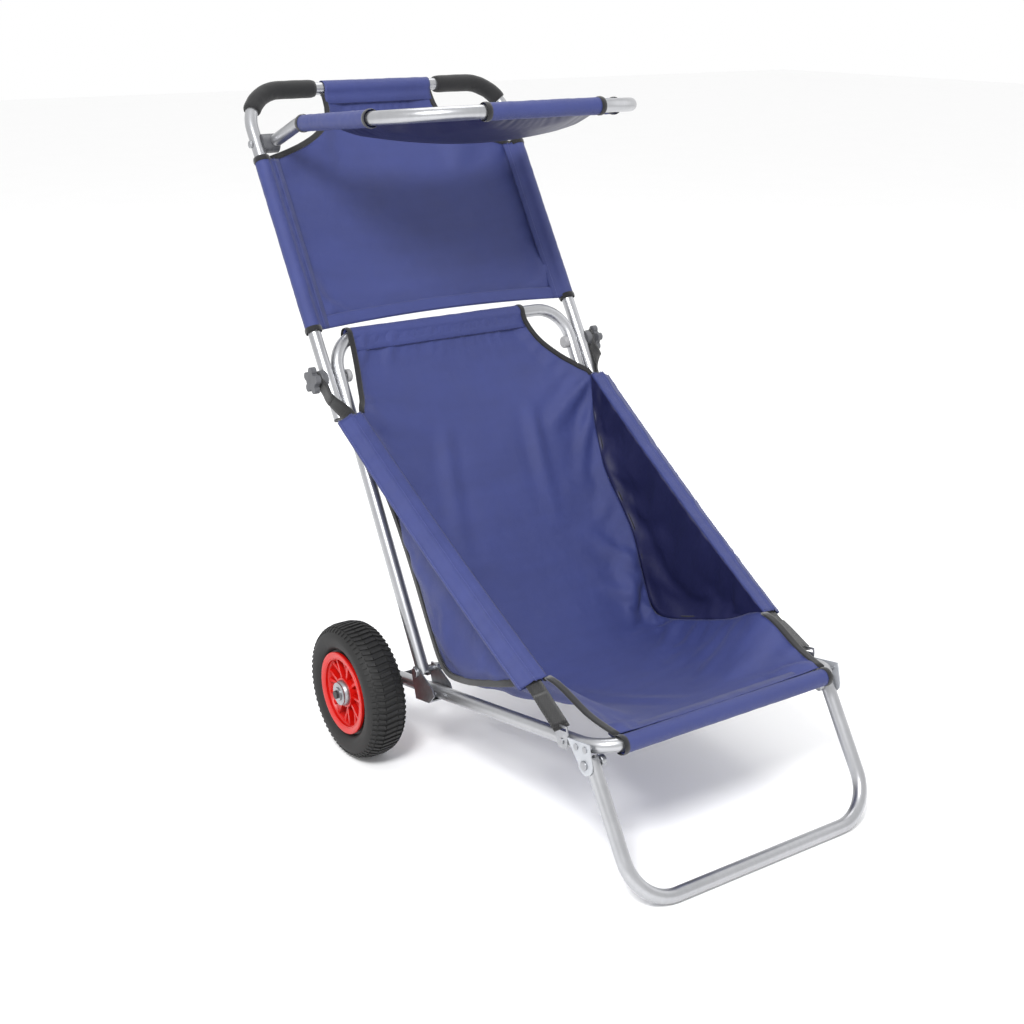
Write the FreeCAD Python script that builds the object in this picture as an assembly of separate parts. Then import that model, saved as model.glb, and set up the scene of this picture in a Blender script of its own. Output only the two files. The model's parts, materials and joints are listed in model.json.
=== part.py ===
import FreeCAD
import Part
import math
import os
from FreeCAD import Vector

# Folding beach cart: a two-wheeled trolley frame with a fabric lounger seat and a sun canopy.
# Millimetres. +X is to the sitter's left-right width, +Y points to the back, +Z is up.
# The floor is Z = 0. The model is drawn with the axle at Y = 0 and moved at the end so that
# the origin is the middle of its footprint.

# ---- driving sizes -------------------------------------------------------------------------
tube_od = 19.0
tube_wall = 1.2
lower_tube_wall = 1.6

wheel_radius = 100.0
tyre_width = 61.0
tyre_wall = 4.5
tube_skin = 1.2
rim_radius = 60.0
rim_width = 46.0
rim_barrel_radius = 50.0
rim_wall = 3.0
rim_web = 4.0
rim_rib_count = 9
rim_rib_turn_deg = 10.0
hub_wall = 3.5
bearing_ring = 7.0
bearing_width = 9.0
axle_radius = 6.0

base_half_width = 200.0
base_length = 495.0
base_slope_deg = 10.47
base_corner_radius = 45.0

leg_pivot_setback = 25.0
leg_slant_deg = 31.9
leg_corner_radius = 60.0

hinge_along = 86.5
hinge_rise = 27.8
back_half_width = 208.0
back_length = 499.0
back_recline_deg = 29.5
back_corner_radius = 50.0

pivot_along_back = 440.6
handle_length = 456.5
handle_tail = 62.0
handle_recline_deg = 32.0
handle_corner_radius = 62.0

canopy_pivot_along = 371.0
canopy_joint_room = 15.0
canopy_knee_back = 90.0
canopy_knee_rise = 34.5
canopy_front_reach = 409.0
canopy_front_rise = 66.0
canopy_corner_radius = 110.0
canopy_knee_radius = 60.0

grip_radius = 14.0
neck_half_width = 94.0
grip_to_neck = 12.0
panel_top_along = 345.0
panel_bottom_along = 75.0
sling_top_from_bend = 12.0
seat_front_from_bend = 3.0
seat_from_rail = 9.5
back_sling_inset = 24.0
seat_sag = 13.0
back_sling_tail = 20.0
seat_sling_start = 26.0

strap_width = 22.0
strap_thickness = 1.6
strap_beside_tube = 46.0
sleeve_width = 40.0
sleeve_tilt_deg = 15.0
sleeve_top_ahead = 55.0
sleeve_top_below = 47.0
sleeve_top_inset = 3.5
sleeve_end_setback = 131.0
sleeve_end_rise = 60.5
sleeve_end_outset = 5.0
sleeve_thickness = 5.0
panel_corner_ahead = 32.0
panel_corner_over = 9.0
panel_corner_outset = 5.0
cloth = 1.0
plate = 2.0
bolt_radius = 3.0
pivot_bolt_radius = 3.5
rivet_radius = 2.0
rivet_head_radius = 4.0
rivet_head_height = 1.6
bracket_rivet_offsets = (8, 30)
plate_rivet_offsets = (-14, 4)
bracket_behind_hinge = 8.0
bracket_ahead_of_hinge = 44.0
bracket_over_hinge = 8.0
leg_plate_behind = 32.0
leg_plate_ahead = 12.0
leg_plate_half_width = 14.0
hook_setback = 70.0
hook_plate = 1.5
hook_eye_rise = 16.0
cap_thickness = 7.5
cap_radius = 9.5
saddle_thickness = 6.0
saddle_radius = 13.0
knob_thickness = 11.0
knob_radius = 20.0
lobe_count = 5
insert_radius = 6.0
joint_radius = 14.0
joint_half_thickness = 5.5
valve_radius = 3.0

# ---- clearances ----------------------------------------------------------------------------
side_gap = 0.5        # between tubes and plates that slide past each other
running = 0.05        # radial, pins and shafts that turn
soft_gap = 0.4        # cloth off the tube it is sewn round
fold_gap = 2.0        # between the folded leg and the base tube above it
wheel_gap = 3.0       # handle tube to the inner face of the tyre
bracket_clear = 4.0   # back cloth to the hinge brackets beside it

# ---- sizes that follow ---------------------------------------------------------------------
tube_r = tube_od / 2
handle_half_width = back_half_width + tube_od + side_gap
handle_outer = handle_half_width + tube_r
handle_inner = handle_half_width - tube_r
canopy_half_width = handle_inner - canopy_joint_room
joint_face = canopy_half_width + joint_half_thickness
sling_top_half_width = back_half_width - back_corner_radius - sling_top_from_bend
back_sling_half_width = back_half_width - back_sling_inset
seat_front_half_width = base_half_width - base_corner_radius - seat_front_from_bend
seat_half_width = base_half_width - tube_r - seat_from_rail
sleeve_top_x = handle_half_width - sleeve_top_inset
sleeve_end_x = base_half_width + sleeve_end_outset
grip_inner_end = neck_half_width + grip_to_neck
wheel_inner = handle_outer + wheel_gap
wheel_x = wheel_inner + tyre_width / 2
hub_half = tyre_width / 2 + 1.0
bearing_radius = axle_radius + bearing_ring
hub_radius = bearing_radius + hub_wall
bead_half = rim_width / 2
axle_half = wheel_x + hub_half + 6.0
axle_z = wheel_radius

slope = math.radians(base_slope_deg)
along_base = Vector(0, -math.cos(slope), math.sin(slope))
above_base = Vector(0, math.sin(slope), math.cos(slope))
axle_centre = Vector(0, 0, axle_z)
base_front = axle_centre + along_base * base_length

leg_pivot_along = base_length - leg_pivot_setback
leg_pivot_drop = tube_od + fold_gap
leg_pivot = axle_centre + along_base * leg_pivot_along - above_base * leg_pivot_drop
leg_slant = math.radians(leg_slant_deg)
leg_length = (leg_pivot.z - tube_r) / math.cos(leg_slant)
leg_down = Vector(0, -math.sin(leg_slant), -math.cos(leg_slant))
leg_foot = leg_pivot + leg_down * leg_length

hinge = axle_centre + along_base * hinge_along + above_base * hinge_rise
back_recline = math.radians(back_recline_deg)
along_back = Vector(0, math.sin(back_recline), math.cos(back_recline))
front_of_back = Vector(0, -math.cos(back_recline), math.sin(back_recline))
back_top = hinge + along_back * back_length

pivot = hinge + along_back * pivot_along_back
handle_recline = math.radians(handle_recline_deg)
along_handle = Vector(0, math.sin(handle_recline), math.cos(handle_recline))
front_of_handle = Vector(0, -math.cos(handle_recline), math.sin(handle_recline))
handle_top = pivot + along_handle * handle_length

canopy_pivot = pivot + along_handle * canopy_pivot_along
canopy_knee = canopy_pivot + Vector(0, -canopy_knee_back, canopy_knee_rise)
canopy_front = canopy_pivot + Vector(0, -canopy_front_reach, canopy_front_rise)

front_end = leg_foot.y - tube_r
back_end = handle_top.y + grip_radius
to_origin = Vector(0, -(front_end + back_end) / 2, 0)

strap_x = handle_outer + saddle_thickness + soft_gap + strap_thickness / 2
knob_inner = strap_x + strap_thickness / 2 + soft_gap
hook_along = base_length - hook_setback
hook_x = base_half_width + tube_r + soft_gap + hook_plate / 2
hook_eye = axle_centre + along_base * hook_along + above_base * hook_eye_rise

x_axis = Vector(1, 0, 0)


# ---- helpers -------------------------------------------------------------------------------
def at_x(point, x):
    """The same point, moved to one side."""
    return Vector(x, point.y, point.z)


def rounded_path(points, radii):
    """Straight runs joined by arcs tangent to both, one radius for each inner point."""
    edges = []
    start = points[0]
    for corner, after, radius in zip(points[1:-1], points[2:], radii):
        towards = (start - corner).normalize()
        away = (after - corner).normalize()
        half_angle = towards.getAngle(away) / 2
        reach = radius / math.tan(half_angle)
        first = corner + towards * reach
        last = corner + away * reach
        inward = (towards + away).normalize()
        centre = corner + inward * (radius / math.sin(half_angle))
        middle = centre - inward * radius
        edges.append(Part.makeLine(start, first))
        edges.append(Part.Arc(first, middle, last).toShape())
        start = last
    edges.append(Part.makeLine(start, points[-1]))
    return Part.Wire(edges)


def swept_disc(path, radius):
    first = path.OrderedEdges[0]
    start = first.valueAt(first.FirstParameter)
    tangent = first.tangentAt(first.FirstParameter)
    ring = Part.Wire([Part.makeCircle(radius, start, tangent)])
    return path.makePipeShell([ring], True, True)


def bent_tube(points, radii, wall):
    path = rounded_path(points, radii)
    outer = swept_disc(path, tube_r)
    inner = swept_disc(path, tube_r - wall)
    return outer.cut(inner)


def cylinder_x(centre, x_from, x_to, radius):
    low = min(x_from, x_to)
    high = max(x_from, x_to)
    return Part.makeCylinder(radius, high - low, at_x(centre, low), x_axis)


def ring_x(centre, x_from, x_to, outer_radius, inner_radius):
    return cylinder_x(centre, x_from, x_to, outer_radius).cut(
        cylinder_x(centre, x_from, x_to, inner_radius))


def prism(points, direction):
    """A flat outline pushed along a vector."""
    outline = Part.makePolygon(points + [points[0]])
    return Part.Face(outline).extrude(direction)


def side_plate(points, x_from, x_to):
    """An outline in the side view, pushed from one X to another."""
    flat = [at_x(point, x_from) for point in points]
    return prism(flat, Vector(x_to - x_from, 0, 0))


def revolved(profile, x_centre):
    """A closed profile of (x, radius) pairs, turned about the axle."""
    points = [Vector(x_centre + x, 0, axle_z + radius) for x, radius in profile]
    outline = Part.makePolygon(points + [points[0]])
    return Part.Face(outline).revolve(axle_centre, x_axis, 360)


def mirrored(shape):
    return shape.mirror(Vector(0, 0, 0), x_axis)


def both_sides(right):
    return Part.makeCompound([right, mirrored(right)])


def local_box(centre, along, across, normal, length, width, thickness):
    """A box from its centre and three directions."""
    corner = centre - along * (length / 2) - across * (width / 2) - normal * (thickness / 2)
    outline = [
        corner,
        corner + along * length,
        corner + along * length + across * width,
        corner + across * width,
    ]
    return prism(outline, normal * thickness)


nodes = {}


def add_pair(name, right):
    nodes[name + "_right"] = right
    nodes[name + "_left"] = mirrored(right)


# ---- base frame ----------------------------------------------------------------------------
bracket_inner_x = base_half_width - tube_r - side_gap
bracket_outer_x = back_half_width + tube_r + side_gap


def side_rivets(offsets, along, head_x, end_x):
    """Rivets across a side of the base tube, with the head at head_x."""
    away = math.copysign(rivet_head_height, head_x - end_x)
    rivets = []
    for offset in offsets:
        centre = axle_centre + along_base * (along + offset)
        shank = cylinder_x(centre, head_x, end_x, rivet_radius)
        head = cylinder_x(centre, head_x, head_x + away, rivet_head_radius)
        rivets.append(both_sides(shank.fuse(head)))
    return Part.makeCompound(rivets)


def base_tube():
    rear = axle_centre - along_base * (tube_r + 3)
    points = [
        at_x(rear, -base_half_width),
        at_x(base_front, -base_half_width),
        at_x(base_front, base_half_width),
        at_x(rear, base_half_width),
    ]
    tube = bent_tube(points, [base_corner_radius] * 2, lower_tube_wall)
    holes = cylinder_x(axle_centre, -axle_half, axle_half, axle_radius)
    return tube.cut([holes, bracket_rivets(), plate_rivets(), hook_rivets()])


def base_plugs():
    """Plastic plugs in the rear ends of the base tube."""
    rear = axle_centre - along_base * (tube_r + 3)
    cap = Part.makeCylinder(tube_r, 2.5, at_x(rear, base_half_width), along_base * -1)
    return both_sides(cap)


def axle():
    return cylinder_x(axle_centre, -axle_half, axle_half, axle_radius)


def axle_spacers():
    """Sleeves that hold the wheels off the frame."""
    start = base_half_width + tube_r + side_gap
    end = wheel_x - hub_half - side_gap
    return both_sides(ring_x(axle_centre, start, end, axle_radius + 3, axle_radius))


def axle_clips():
    """Push-on retaining washers outside the hubs."""
    start = wheel_x + hub_half + side_gap
    return both_sides(ring_x(axle_centre, start, start + 2, axle_radius + 4, axle_radius))


def hinge_bracket():
    """Folded channel riveted over the base tube, carrying the back frame's hinge bolt."""
    low = -tube_r - side_gap - plate
    foot_rear = hinge_along - bracket_behind_hinge
    foot_front = hinge_along + bracket_ahead_of_hinge
    outline = [
        axle_centre + along_base * foot_rear + above_base * low,
        axle_centre + along_base * (foot_front - 16) + above_base * low,
        axle_centre + along_base * foot_front,
        axle_centre + along_base * (foot_front - 4) + above_base * (tube_r + 2),
        axle_centre + along_base * (hinge_along + 10) + above_base * (
            hinge_rise + bracket_over_hinge - 3),
        axle_centre + along_base * (hinge_along - 5) + above_base * (
            hinge_rise + bracket_over_hinge),
        axle_centre + along_base * (hinge_along - 12) + above_base * (hinge_rise - 4),
    ]
    inner = side_plate(outline, bracket_inner_x - plate, bracket_inner_x)
    outer = side_plate(outline, bracket_outer_x, bracket_outer_x + plate)
    floor_outline = [
        outline[0],
        outline[1],
        outline[1] + above_base * plate,
        outline[0] + above_base * plate,
    ]
    floor = side_plate(floor_outline, bracket_inner_x - plate, bracket_outer_x + plate)
    bracket = inner.fuse([outer, floor]).removeSplitter()
    hole = cylinder_x(hinge, bracket_inner_x - 9, bracket_outer_x + 9, pivot_bolt_radius)
    return bracket.cut([hole, bracket_rivets()])


def bracket_rivets():
    """Two rivets through each bracket and the base tube, from the inner side."""
    end = base_half_width + tube_r + 1
    return side_rivets(bracket_rivet_offsets, hinge_along, bracket_inner_x - plate, end)


def hinge_bolts():
    """The bolts that the back frame turns on, with their heads outside."""
    outside = bracket_outer_x + plate
    inside = bracket_inner_x - plate
    shank = cylinder_x(hinge, inside - 7, outside, pivot_bolt_radius)
    head = cylinder_x(hinge, outside, outside + 3, 7)
    head = head.makeFillet(1.2, [head.Edges[0]])
    return both_sides(shank.fuse(head))


def hex_nut(centre, x_from, x_to, across_corners, hole_radius):
    points = []
    for corner in range(6):
        angle = math.radians(60 * corner)
        spoke = Vector(0, math.cos(angle), math.sin(angle)) * across_corners
        points.append(centre + spoke)
    return side_plate(points, x_from, x_to).cut(
        cylinder_x(centre, x_from, x_to, hole_radius))


def hinge_nuts():
    inside = bracket_inner_x - plate
    nut = hex_nut(hinge, inside - 5, inside, 6.5, pivot_bolt_radius)
    return both_sides(nut)


leg_plate_x = base_half_width + tube_r + side_gap


def leg_plate():
    """Rounded plate on the outer side of the base tube, down to the leg's pivot."""
    top = axle_centre + above_base * (tube_r - 2)
    rear = leg_pivot_along - leg_plate_behind
    front = leg_pivot_along + leg_plate_ahead
    outline = [top + along_base * rear, top + along_base * front]
    for step in range(7):
        angle = math.radians(30 * step)
        outward = along_base * math.cos(angle) - above_base * math.sin(angle)
        outline.append(leg_pivot + outward * leg_plate_half_width)
    body = side_plate(outline, leg_plate_x, leg_plate_x + plate)
    hole = cylinder_x(leg_pivot, leg_plate_x - 1, leg_plate_x + plate + 1, bolt_radius)
    return body.cut([hole, plate_rivets()])


def plate_rivets():
    """Two rivets that hold each leg plate to the base tube."""
    return side_rivets(
        plate_rivet_offsets, leg_pivot_along, leg_plate_x + plate, base_half_width)


def leg_bolts():
    outside = leg_plate_x + plate
    inside = base_half_width - tube_r - side_gap
    shank = cylinder_x(leg_pivot, inside - 6, outside, bolt_radius)
    head = cylinder_x(leg_pivot, outside, outside + 3.2, 6)
    head = head.makeFillet(1.5, [head.Edges[0]])
    return both_sides(shank.fuse(head))


def leg_nuts():
    """Plastic-capped nuts on the inner side of the leg."""
    inside = base_half_width - tube_r - side_gap
    body = cylinder_x(leg_pivot, inside - 8, inside, 7)
    body = body.makeFillet(2, [body.Edges[0], body.Edges[2]])
    return both_sides(body.cut(cylinder_x(leg_pivot, inside - 6, inside, bolt_radius)))


def strap_hook():
    """Folded plate on the base tube with the eye that the strap is looped through."""
    centre = axle_centre + along_base * hook_along
    half = strap_width / 2 + 3
    outline = [
        centre - along_base * 9 - above_base * 9,
        centre + along_base * 9 - above_base * 9,
        centre + along_base * half + above_base * (hook_eye_rise - 3),
        centre + along_base * half + above_base * (hook_eye_rise + 5),
        centre - along_base * half + above_base * (hook_eye_rise + 5),
        centre - along_base * half + above_base * (hook_eye_rise - 3),
    ]
    body = side_plate(outline, hook_x - hook_plate / 2, hook_x + hook_plate / 2)
    slot = local_box(
        at_x(centre + above_base * hook_eye_rise, hook_x), along_base, above_base, x_axis,
        strap_width + 1, 4, 8)
    return body.cut([slot, hook_rivets()])


def hook_rivets():
    return side_rivets((0,), hook_along, hook_x + hook_plate / 2, base_half_width)


# ---- front leg -----------------------------------------------------------------------------
def leg_tube():
    end_beyond_pivot = tube_r - 1.0
    start = leg_pivot - leg_down * end_beyond_pivot
    points = [
        at_x(start, -base_half_width),
        at_x(leg_foot, -base_half_width),
        at_x(leg_foot, base_half_width),
        at_x(start, base_half_width),
    ]
    tube = bent_tube(points, [leg_corner_radius] * 2, lower_tube_wall)
    keep_reach = leg_length + 4 * tube_r
    round_end = cylinder_x(leg_pivot, -handle_outer, handle_outer, tube_r)
    below = local_box(
        leg_pivot + leg_down * (keep_reach / 2), leg_down, x_axis,
        leg_down.cross(x_axis), keep_reach, 2 * handle_outer, 4 * tube_od)
    tube = tube.common(round_end.fuse(below))
    holes = cylinder_x(leg_pivot, -handle_outer, handle_outer, bolt_radius + running)
    return tube.cut(holes)


# ---- back frame ----------------------------------------------------------------------------
def back_tube():
    start = hinge - along_back * (tube_r - 1)
    points = [
        at_x(start, -back_half_width),
        at_x(back_top, -back_half_width),
        at_x(back_top, back_half_width),
        at_x(start, back_half_width),
    ]
    tube = bent_tube(points, [back_corner_radius] * 2, tube_wall)
    round_end = cylinder_x(hinge, -handle_outer, handle_outer, tube_r)
    above = local_box(
        hinge + along_back * back_length, along_back, x_axis,
        front_of_back, 2 * back_length, 2 * handle_outer, 4 * tube_od)
    tube = tube.common(round_end.fuse(above))
    holes = cylinder_x(hinge, -handle_outer, handle_outer, pivot_bolt_radius + running)
    clamp_holes = cylinder_x(pivot, -handle_outer, handle_outer, pivot_bolt_radius)
    return tube.cut(holes).cut(clamp_holes)


cap_x = back_half_width - tube_r


def clamp_bolts():
    """The bolts that clamp the handle frame to the back frame, heads in the inner caps."""
    shank = cylinder_x(pivot, cap_x, knob_inner + knob_thickness - 4, pivot_bolt_radius)
    head = cylinder_x(pivot, cap_x - 4, cap_x, 6)
    return both_sides(shank.fuse(head))


def bolt_cap():
    """Round plastic cap over the bolt's head on the inside of the back tube."""
    cap = cylinder_x(pivot, cap_x - cap_thickness, cap_x, cap_radius)
    cap = cap.makeFillet(3, [cap.Edges[2]])
    return cap.cut(cylinder_x(pivot, cap_x - 4, cap_x, 6))


def back_sling():
    """The part of the seat cloth that hangs from the back frame's top bar."""
    bar_r = tube_r + soft_gap
    face = hinge + front_of_back * bar_r
    bottom = face - along_back * back_sling_tail
    foot_half_width = bracket_inner_x - plate - bracket_clear
    shoulder = face + along_back * (back_length * 0.72)
    top = face + along_back * back_length
    outline = [
        at_x(bottom, -foot_half_width),
        at_x(bottom, foot_half_width),
        at_x(shoulder, back_sling_half_width),
        at_x(top, sling_top_half_width),
        at_x(top, -sling_top_half_width),
        at_x(shoulder, -back_sling_half_width),
    ]
    sheet = prism(outline, front_of_back * cloth)
    sleeve = ring_x(
        back_top, -sling_top_half_width, sling_top_half_width, bar_r + cloth, bar_r)
    return sheet.fuse(sleeve).removeSplitter()


# ---- seat cloth ----------------------------------------------------------------------------
def seat_sling():
    """The part of the seat cloth over the base frame, from the front bar to the hinge."""
    bar_r = tube_r + soft_gap
    front = base_front + above_base * bar_r
    middle = axle_centre + along_base * (base_length * 0.62) - above_base * (seat_sag / 2)
    low = axle_centre + along_base * (base_length * 0.4) - above_base * seat_sag
    rear = axle_centre + along_base * (hinge_along + seat_sling_start) - above_base * 6
    under = [front, middle, low, rear]
    over = [point + above_base * cloth for point in reversed(under)]
    strip = side_plate(under + over, -seat_half_width, seat_half_width)
    depth = above_base * 80
    outline = [
        at_x(base_front, -seat_front_half_width) - depth,
        at_x(base_front, seat_front_half_width) - depth,
        at_x(middle, seat_half_width) - depth,
        at_x(rear, seat_half_width) - depth,
        at_x(rear, -seat_half_width) - depth,
        at_x(middle, -seat_half_width) - depth,
    ]
    flat = [point - above_base * (point - axle_centre).dot(above_base) - depth
            for point in outline]
    strip = strip.common(prism(flat, depth * 2))
    sleeve = ring_x(
        base_front, -seat_front_half_width, seat_front_half_width, bar_r + cloth, bar_r)
    return strip.fuse(sleeve).removeSplitter()


strap_run = (hook_eye - pivot).normalize()
strap_across = x_axis.cross(strap_run) * -1
strap_start = at_x(pivot, strap_x)
strap_clear = strap_start + strap_run * (saddle_radius + 5)
strap_beside = at_x(
    pivot + strap_run * strap_beside_tube, handle_outer + soft_gap + strap_thickness / 2)
sleeve_top = at_x(pivot + Vector(0, -sleeve_top_ahead, -sleeve_top_below), sleeve_top_x)
sleeve_end = at_x(
    axle_centre + along_base * (base_length - sleeve_end_setback)
    + above_base * sleeve_end_rise, sleeve_end_x)
strap_end = at_x(hook_eye, hook_x - (hook_plate + strap_thickness) / 2 - soft_gap)
sleeve_run = (sleeve_end - sleeve_top).normalize()
sleeve_tilt = math.radians(sleeve_tilt_deg)
sleeve_across = x_axis * math.cos(sleeve_tilt) - strap_across * math.sin(sleeve_tilt)
sleeve_across = (sleeve_across - sleeve_run * sleeve_across.dot(sleeve_run)).normalize()
sleeve_normal = sleeve_across.cross(sleeve_run)


def ribbon(start, end, across, normal, width, thickness):
    """A flat run between two points."""
    half_width = across * (width / 2)
    half_normal = normal * (thickness / 2)
    outline = [start - half_width, end - half_width, end + half_width, start + half_width]
    return prism([point - half_normal for point in outline], normal * thickness)


def strap():
    """Webbing strap from the knob's bolt, through the sleeve, to the hook."""
    free_runs = [
        (strap_start, strap_clear),
        (strap_clear, strap_beside),
        (strap_beside, sleeve_top - sleeve_run * 2),
        (sleeve_end + sleeve_run * 2, strap_end),
    ]
    pieces = [
        ribbon(first, second, strap_across, x_axis, strap_width, strap_thickness)
        for first, second in free_runs
    ]
    pieces.append(ribbon(
        sleeve_top - sleeve_run * 4, sleeve_end + sleeve_run * 4, sleeve_across, sleeve_normal,
        strap_width, strap_thickness))
    pieces.append(cylinder_x(
        strap_start, strap_x - strap_thickness / 2, strap_x + strap_thickness / 2,
        strap_width / 2))
    band = pieces[0].fuse(pieces[1:]).removeSplitter()
    eyelet = cylinder_x(strap_start, strap_x - 3, strap_x + 3, pivot_bolt_radius + soft_gap)
    return band.cut(eyelet)


def side_panel():
    """Side cloth: the sleeve that the strap runs in, and the triangle below its inner edge."""
    sleeve = ribbon(
        sleeve_top, sleeve_end, sleeve_across, sleeve_normal, sleeve_width, sleeve_thickness)
    overrun = sleeve_run * 10
    slot = ribbon(
        sleeve_top - overrun, sleeve_end + overrun, sleeve_across, sleeve_normal,
        strap_width + 2, strap_thickness + 1)
    inner_edge = sleeve_across * -(sleeve_width / 2 - 1)
    corner = at_x(
        hinge + Vector(0, -panel_corner_ahead, panel_corner_over),
        back_sling_half_width + panel_corner_outset)
    corners = [sleeve_top + inner_edge, sleeve_end + inner_edge, corner]
    facing = (corners[1] - corners[0]).cross(corners[2] - corners[0]).normalize()
    sheet = prism([point - facing * (cloth / 2) for point in corners], facing * cloth)
    return sleeve.cut(slot).fuse(sheet).removeSplitter()


# ---- handle frame --------------------------------------------------------------------------
def handle_tube():
    start = pivot - along_handle * handle_tail
    points = [
        at_x(start, -handle_half_width),
        at_x(handle_top, -handle_half_width),
        at_x(handle_top, handle_half_width),
        at_x(start, handle_half_width),
    ]
    tube = bent_tube(points, [handle_corner_radius] * 2, tube_wall)
    wide = axle_half
    clamp_holes = cylinder_x(pivot, -wide, wide, pivot_bolt_radius + running)
    canopy_holes = cylinder_x(canopy_pivot, -wide, wide, bolt_radius)
    return tube.cut(clamp_holes).cut(canopy_holes)


def handle_plugs():
    """Plastic plugs in the lower ends of the handle tube."""
    end = at_x(pivot - along_handle * handle_tail, handle_half_width)
    flange = Part.makeCylinder(tube_r, 2, end, along_handle * -1)
    core = Part.makeCylinder(tube_r - tube_wall, 14, end, along_handle)
    return both_sides(flange.fuse(core))


def grip():
    """Foam grip that follows the handle's top bar round into its corner."""
    top_corner = at_x(handle_top, handle_half_width)
    path = rounded_path(
        [at_x(handle_top, grip_inner_end), top_corner,
         top_corner - along_handle * (handle_corner_radius + 20)],
        [handle_corner_radius])
    whole = swept_disc(path, grip_radius).cut(swept_disc(path, tube_r))
    turn_centre = at_x(
        handle_top - along_handle * handle_corner_radius,
        handle_half_width - handle_corner_radius)
    cut_angle = math.radians(50)
    cut_run = x_axis * math.sin(cut_angle) + along_handle * math.cos(cut_angle)
    keep_side = along_handle * math.sin(cut_angle) - x_axis * math.cos(cut_angle)
    keep = local_box(
        turn_centre + keep_side * 150, keep_side, cut_run, front_of_handle, 300, 300, 80)
    return whole.common(keep)


def saddle():
    """Plastic washer shaped to the handle tube, between it and the strap."""
    disc = cylinder_x(pivot, handle_outer - 4, handle_outer + saddle_thickness, saddle_radius)
    disc = disc.makeFillet(2, [disc.Edges[0]])
    tube_start = at_x(pivot - along_handle * 40, handle_half_width)
    tube_space = Part.makeCylinder(tube_r, 80, tube_start, along_handle)
    bore = cylinder_x(pivot, handle_outer - 8, strap_x, pivot_bolt_radius + running)
    return disc.cut(tube_space).cut(bore)


def sleeve_on(start, end):
    """Cloth sewn into a tunnel round a straight tube."""
    run = end - start
    outer = Part.makeCylinder(tube_r + soft_gap + cloth, run.Length, start, run)
    inner = Part.makeCylinder(tube_r + soft_gap, run.Length, start, run)
    return outer.cut(inner)


def back_panel():
    """Upper back cloth: a tunnel on each side and a neck over the top bar."""
    half = handle_half_width - tube_r - soft_gap - cloth / 2
    middle = pivot - front_of_handle * (cloth / 2)

    def spot(x, along):
        return at_x(middle + along_handle * along, x)

    neck_top = handle_length - tube_r - soft_gap - cloth / 2
    right = [
        spot(half, panel_bottom_along),
        spot(half, panel_top_along),
        spot(half * 0.72, panel_top_along + 8),
        spot(neck_half_width + 14, panel_top_along + 46),
        spot(neck_half_width, neck_top),
    ]
    left = [at_x(point, -point.x) for point in reversed(right)]
    sheet = prism(right + left, front_of_handle * cloth)
    pieces = []
    for x in (-handle_half_width, handle_half_width):
        start = at_x(pivot + along_handle * panel_bottom_along, x)
        end = at_x(pivot + along_handle * panel_top_along, x)
        pieces.append(sleeve_on(start, end))
    pieces.append(sleeve_on(at_x(handle_top, -neck_half_width), at_x(handle_top, neck_half_width)))
    return sheet.fuse(pieces).removeSplitter()


# ---- canopy --------------------------------------------------------------------------------
canopy_arm_run = (canopy_front - canopy_knee).normalize()
canopy_up = x_axis.cross(canopy_arm_run) * -1
first_run = (canopy_knee - canopy_pivot).normalize()
tube_start_reach = joint_radius + 4.0


def canopy_block():
    """Plastic half of the tilt joint that stays on the handle tube."""
    disc = cylinder_x(canopy_pivot, joint_face + 0.3, handle_inner + 4, joint_radius)
    tube_start = at_x(canopy_pivot - along_handle * 40, handle_half_width)
    tube_space = Part.makeCylinder(tube_r, 80, tube_start, along_handle)
    bore = cylinder_x(canopy_pivot, joint_face - 1, handle_inner + 6, bolt_radius)
    return disc.cut(tube_space).cut(bore)


def canopy_bolts():
    shank = cylinder_x(canopy_pivot, canopy_half_width - 8, handle_outer, bolt_radius)
    head = cylinder_x(canopy_pivot, handle_outer, handle_outer + 3, 5.5)
    head = head.makeFillet(1.2, [head.Edges[0]])
    return both_sides(shank.fuse(head))


def canopy_joint():
    """Plastic half of the tilt joint that plugs into the canopy tube."""
    disc = cylinder_x(canopy_pivot, canopy_half_width - 7, joint_face, joint_radius)
    plug_start = at_x(canopy_pivot, canopy_half_width)
    plug = Part.makeCylinder(
        tube_r - tube_wall, tube_start_reach + 16, plug_start, first_run)
    collar = Part.makeCylinder(tube_r - 2.5, tube_start_reach, plug_start, first_run)
    bore = cylinder_x(canopy_pivot, canopy_half_width - 20, handle_outer, bolt_radius + running)
    other_half = cylinder_x(canopy_pivot, joint_face, handle_outer, joint_radius + 1.5)
    return disc.fuse([plug, collar]).removeSplitter().cut([bore, other_half])


def canopy_tube():
    start = canopy_pivot + first_run * tube_start_reach
    points = [
        at_x(start, -canopy_half_width),
        at_x(canopy_knee, -canopy_half_width),
        at_x(canopy_front, -canopy_half_width),
        at_x(canopy_front, canopy_half_width),
        at_x(canopy_knee, canopy_half_width),
        at_x(start, canopy_half_width),
    ]
    radii = [canopy_knee_radius] + [canopy_corner_radius] * 2 + [canopy_knee_radius]
    return bent_tube(points, radii, tube_wall)


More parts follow.
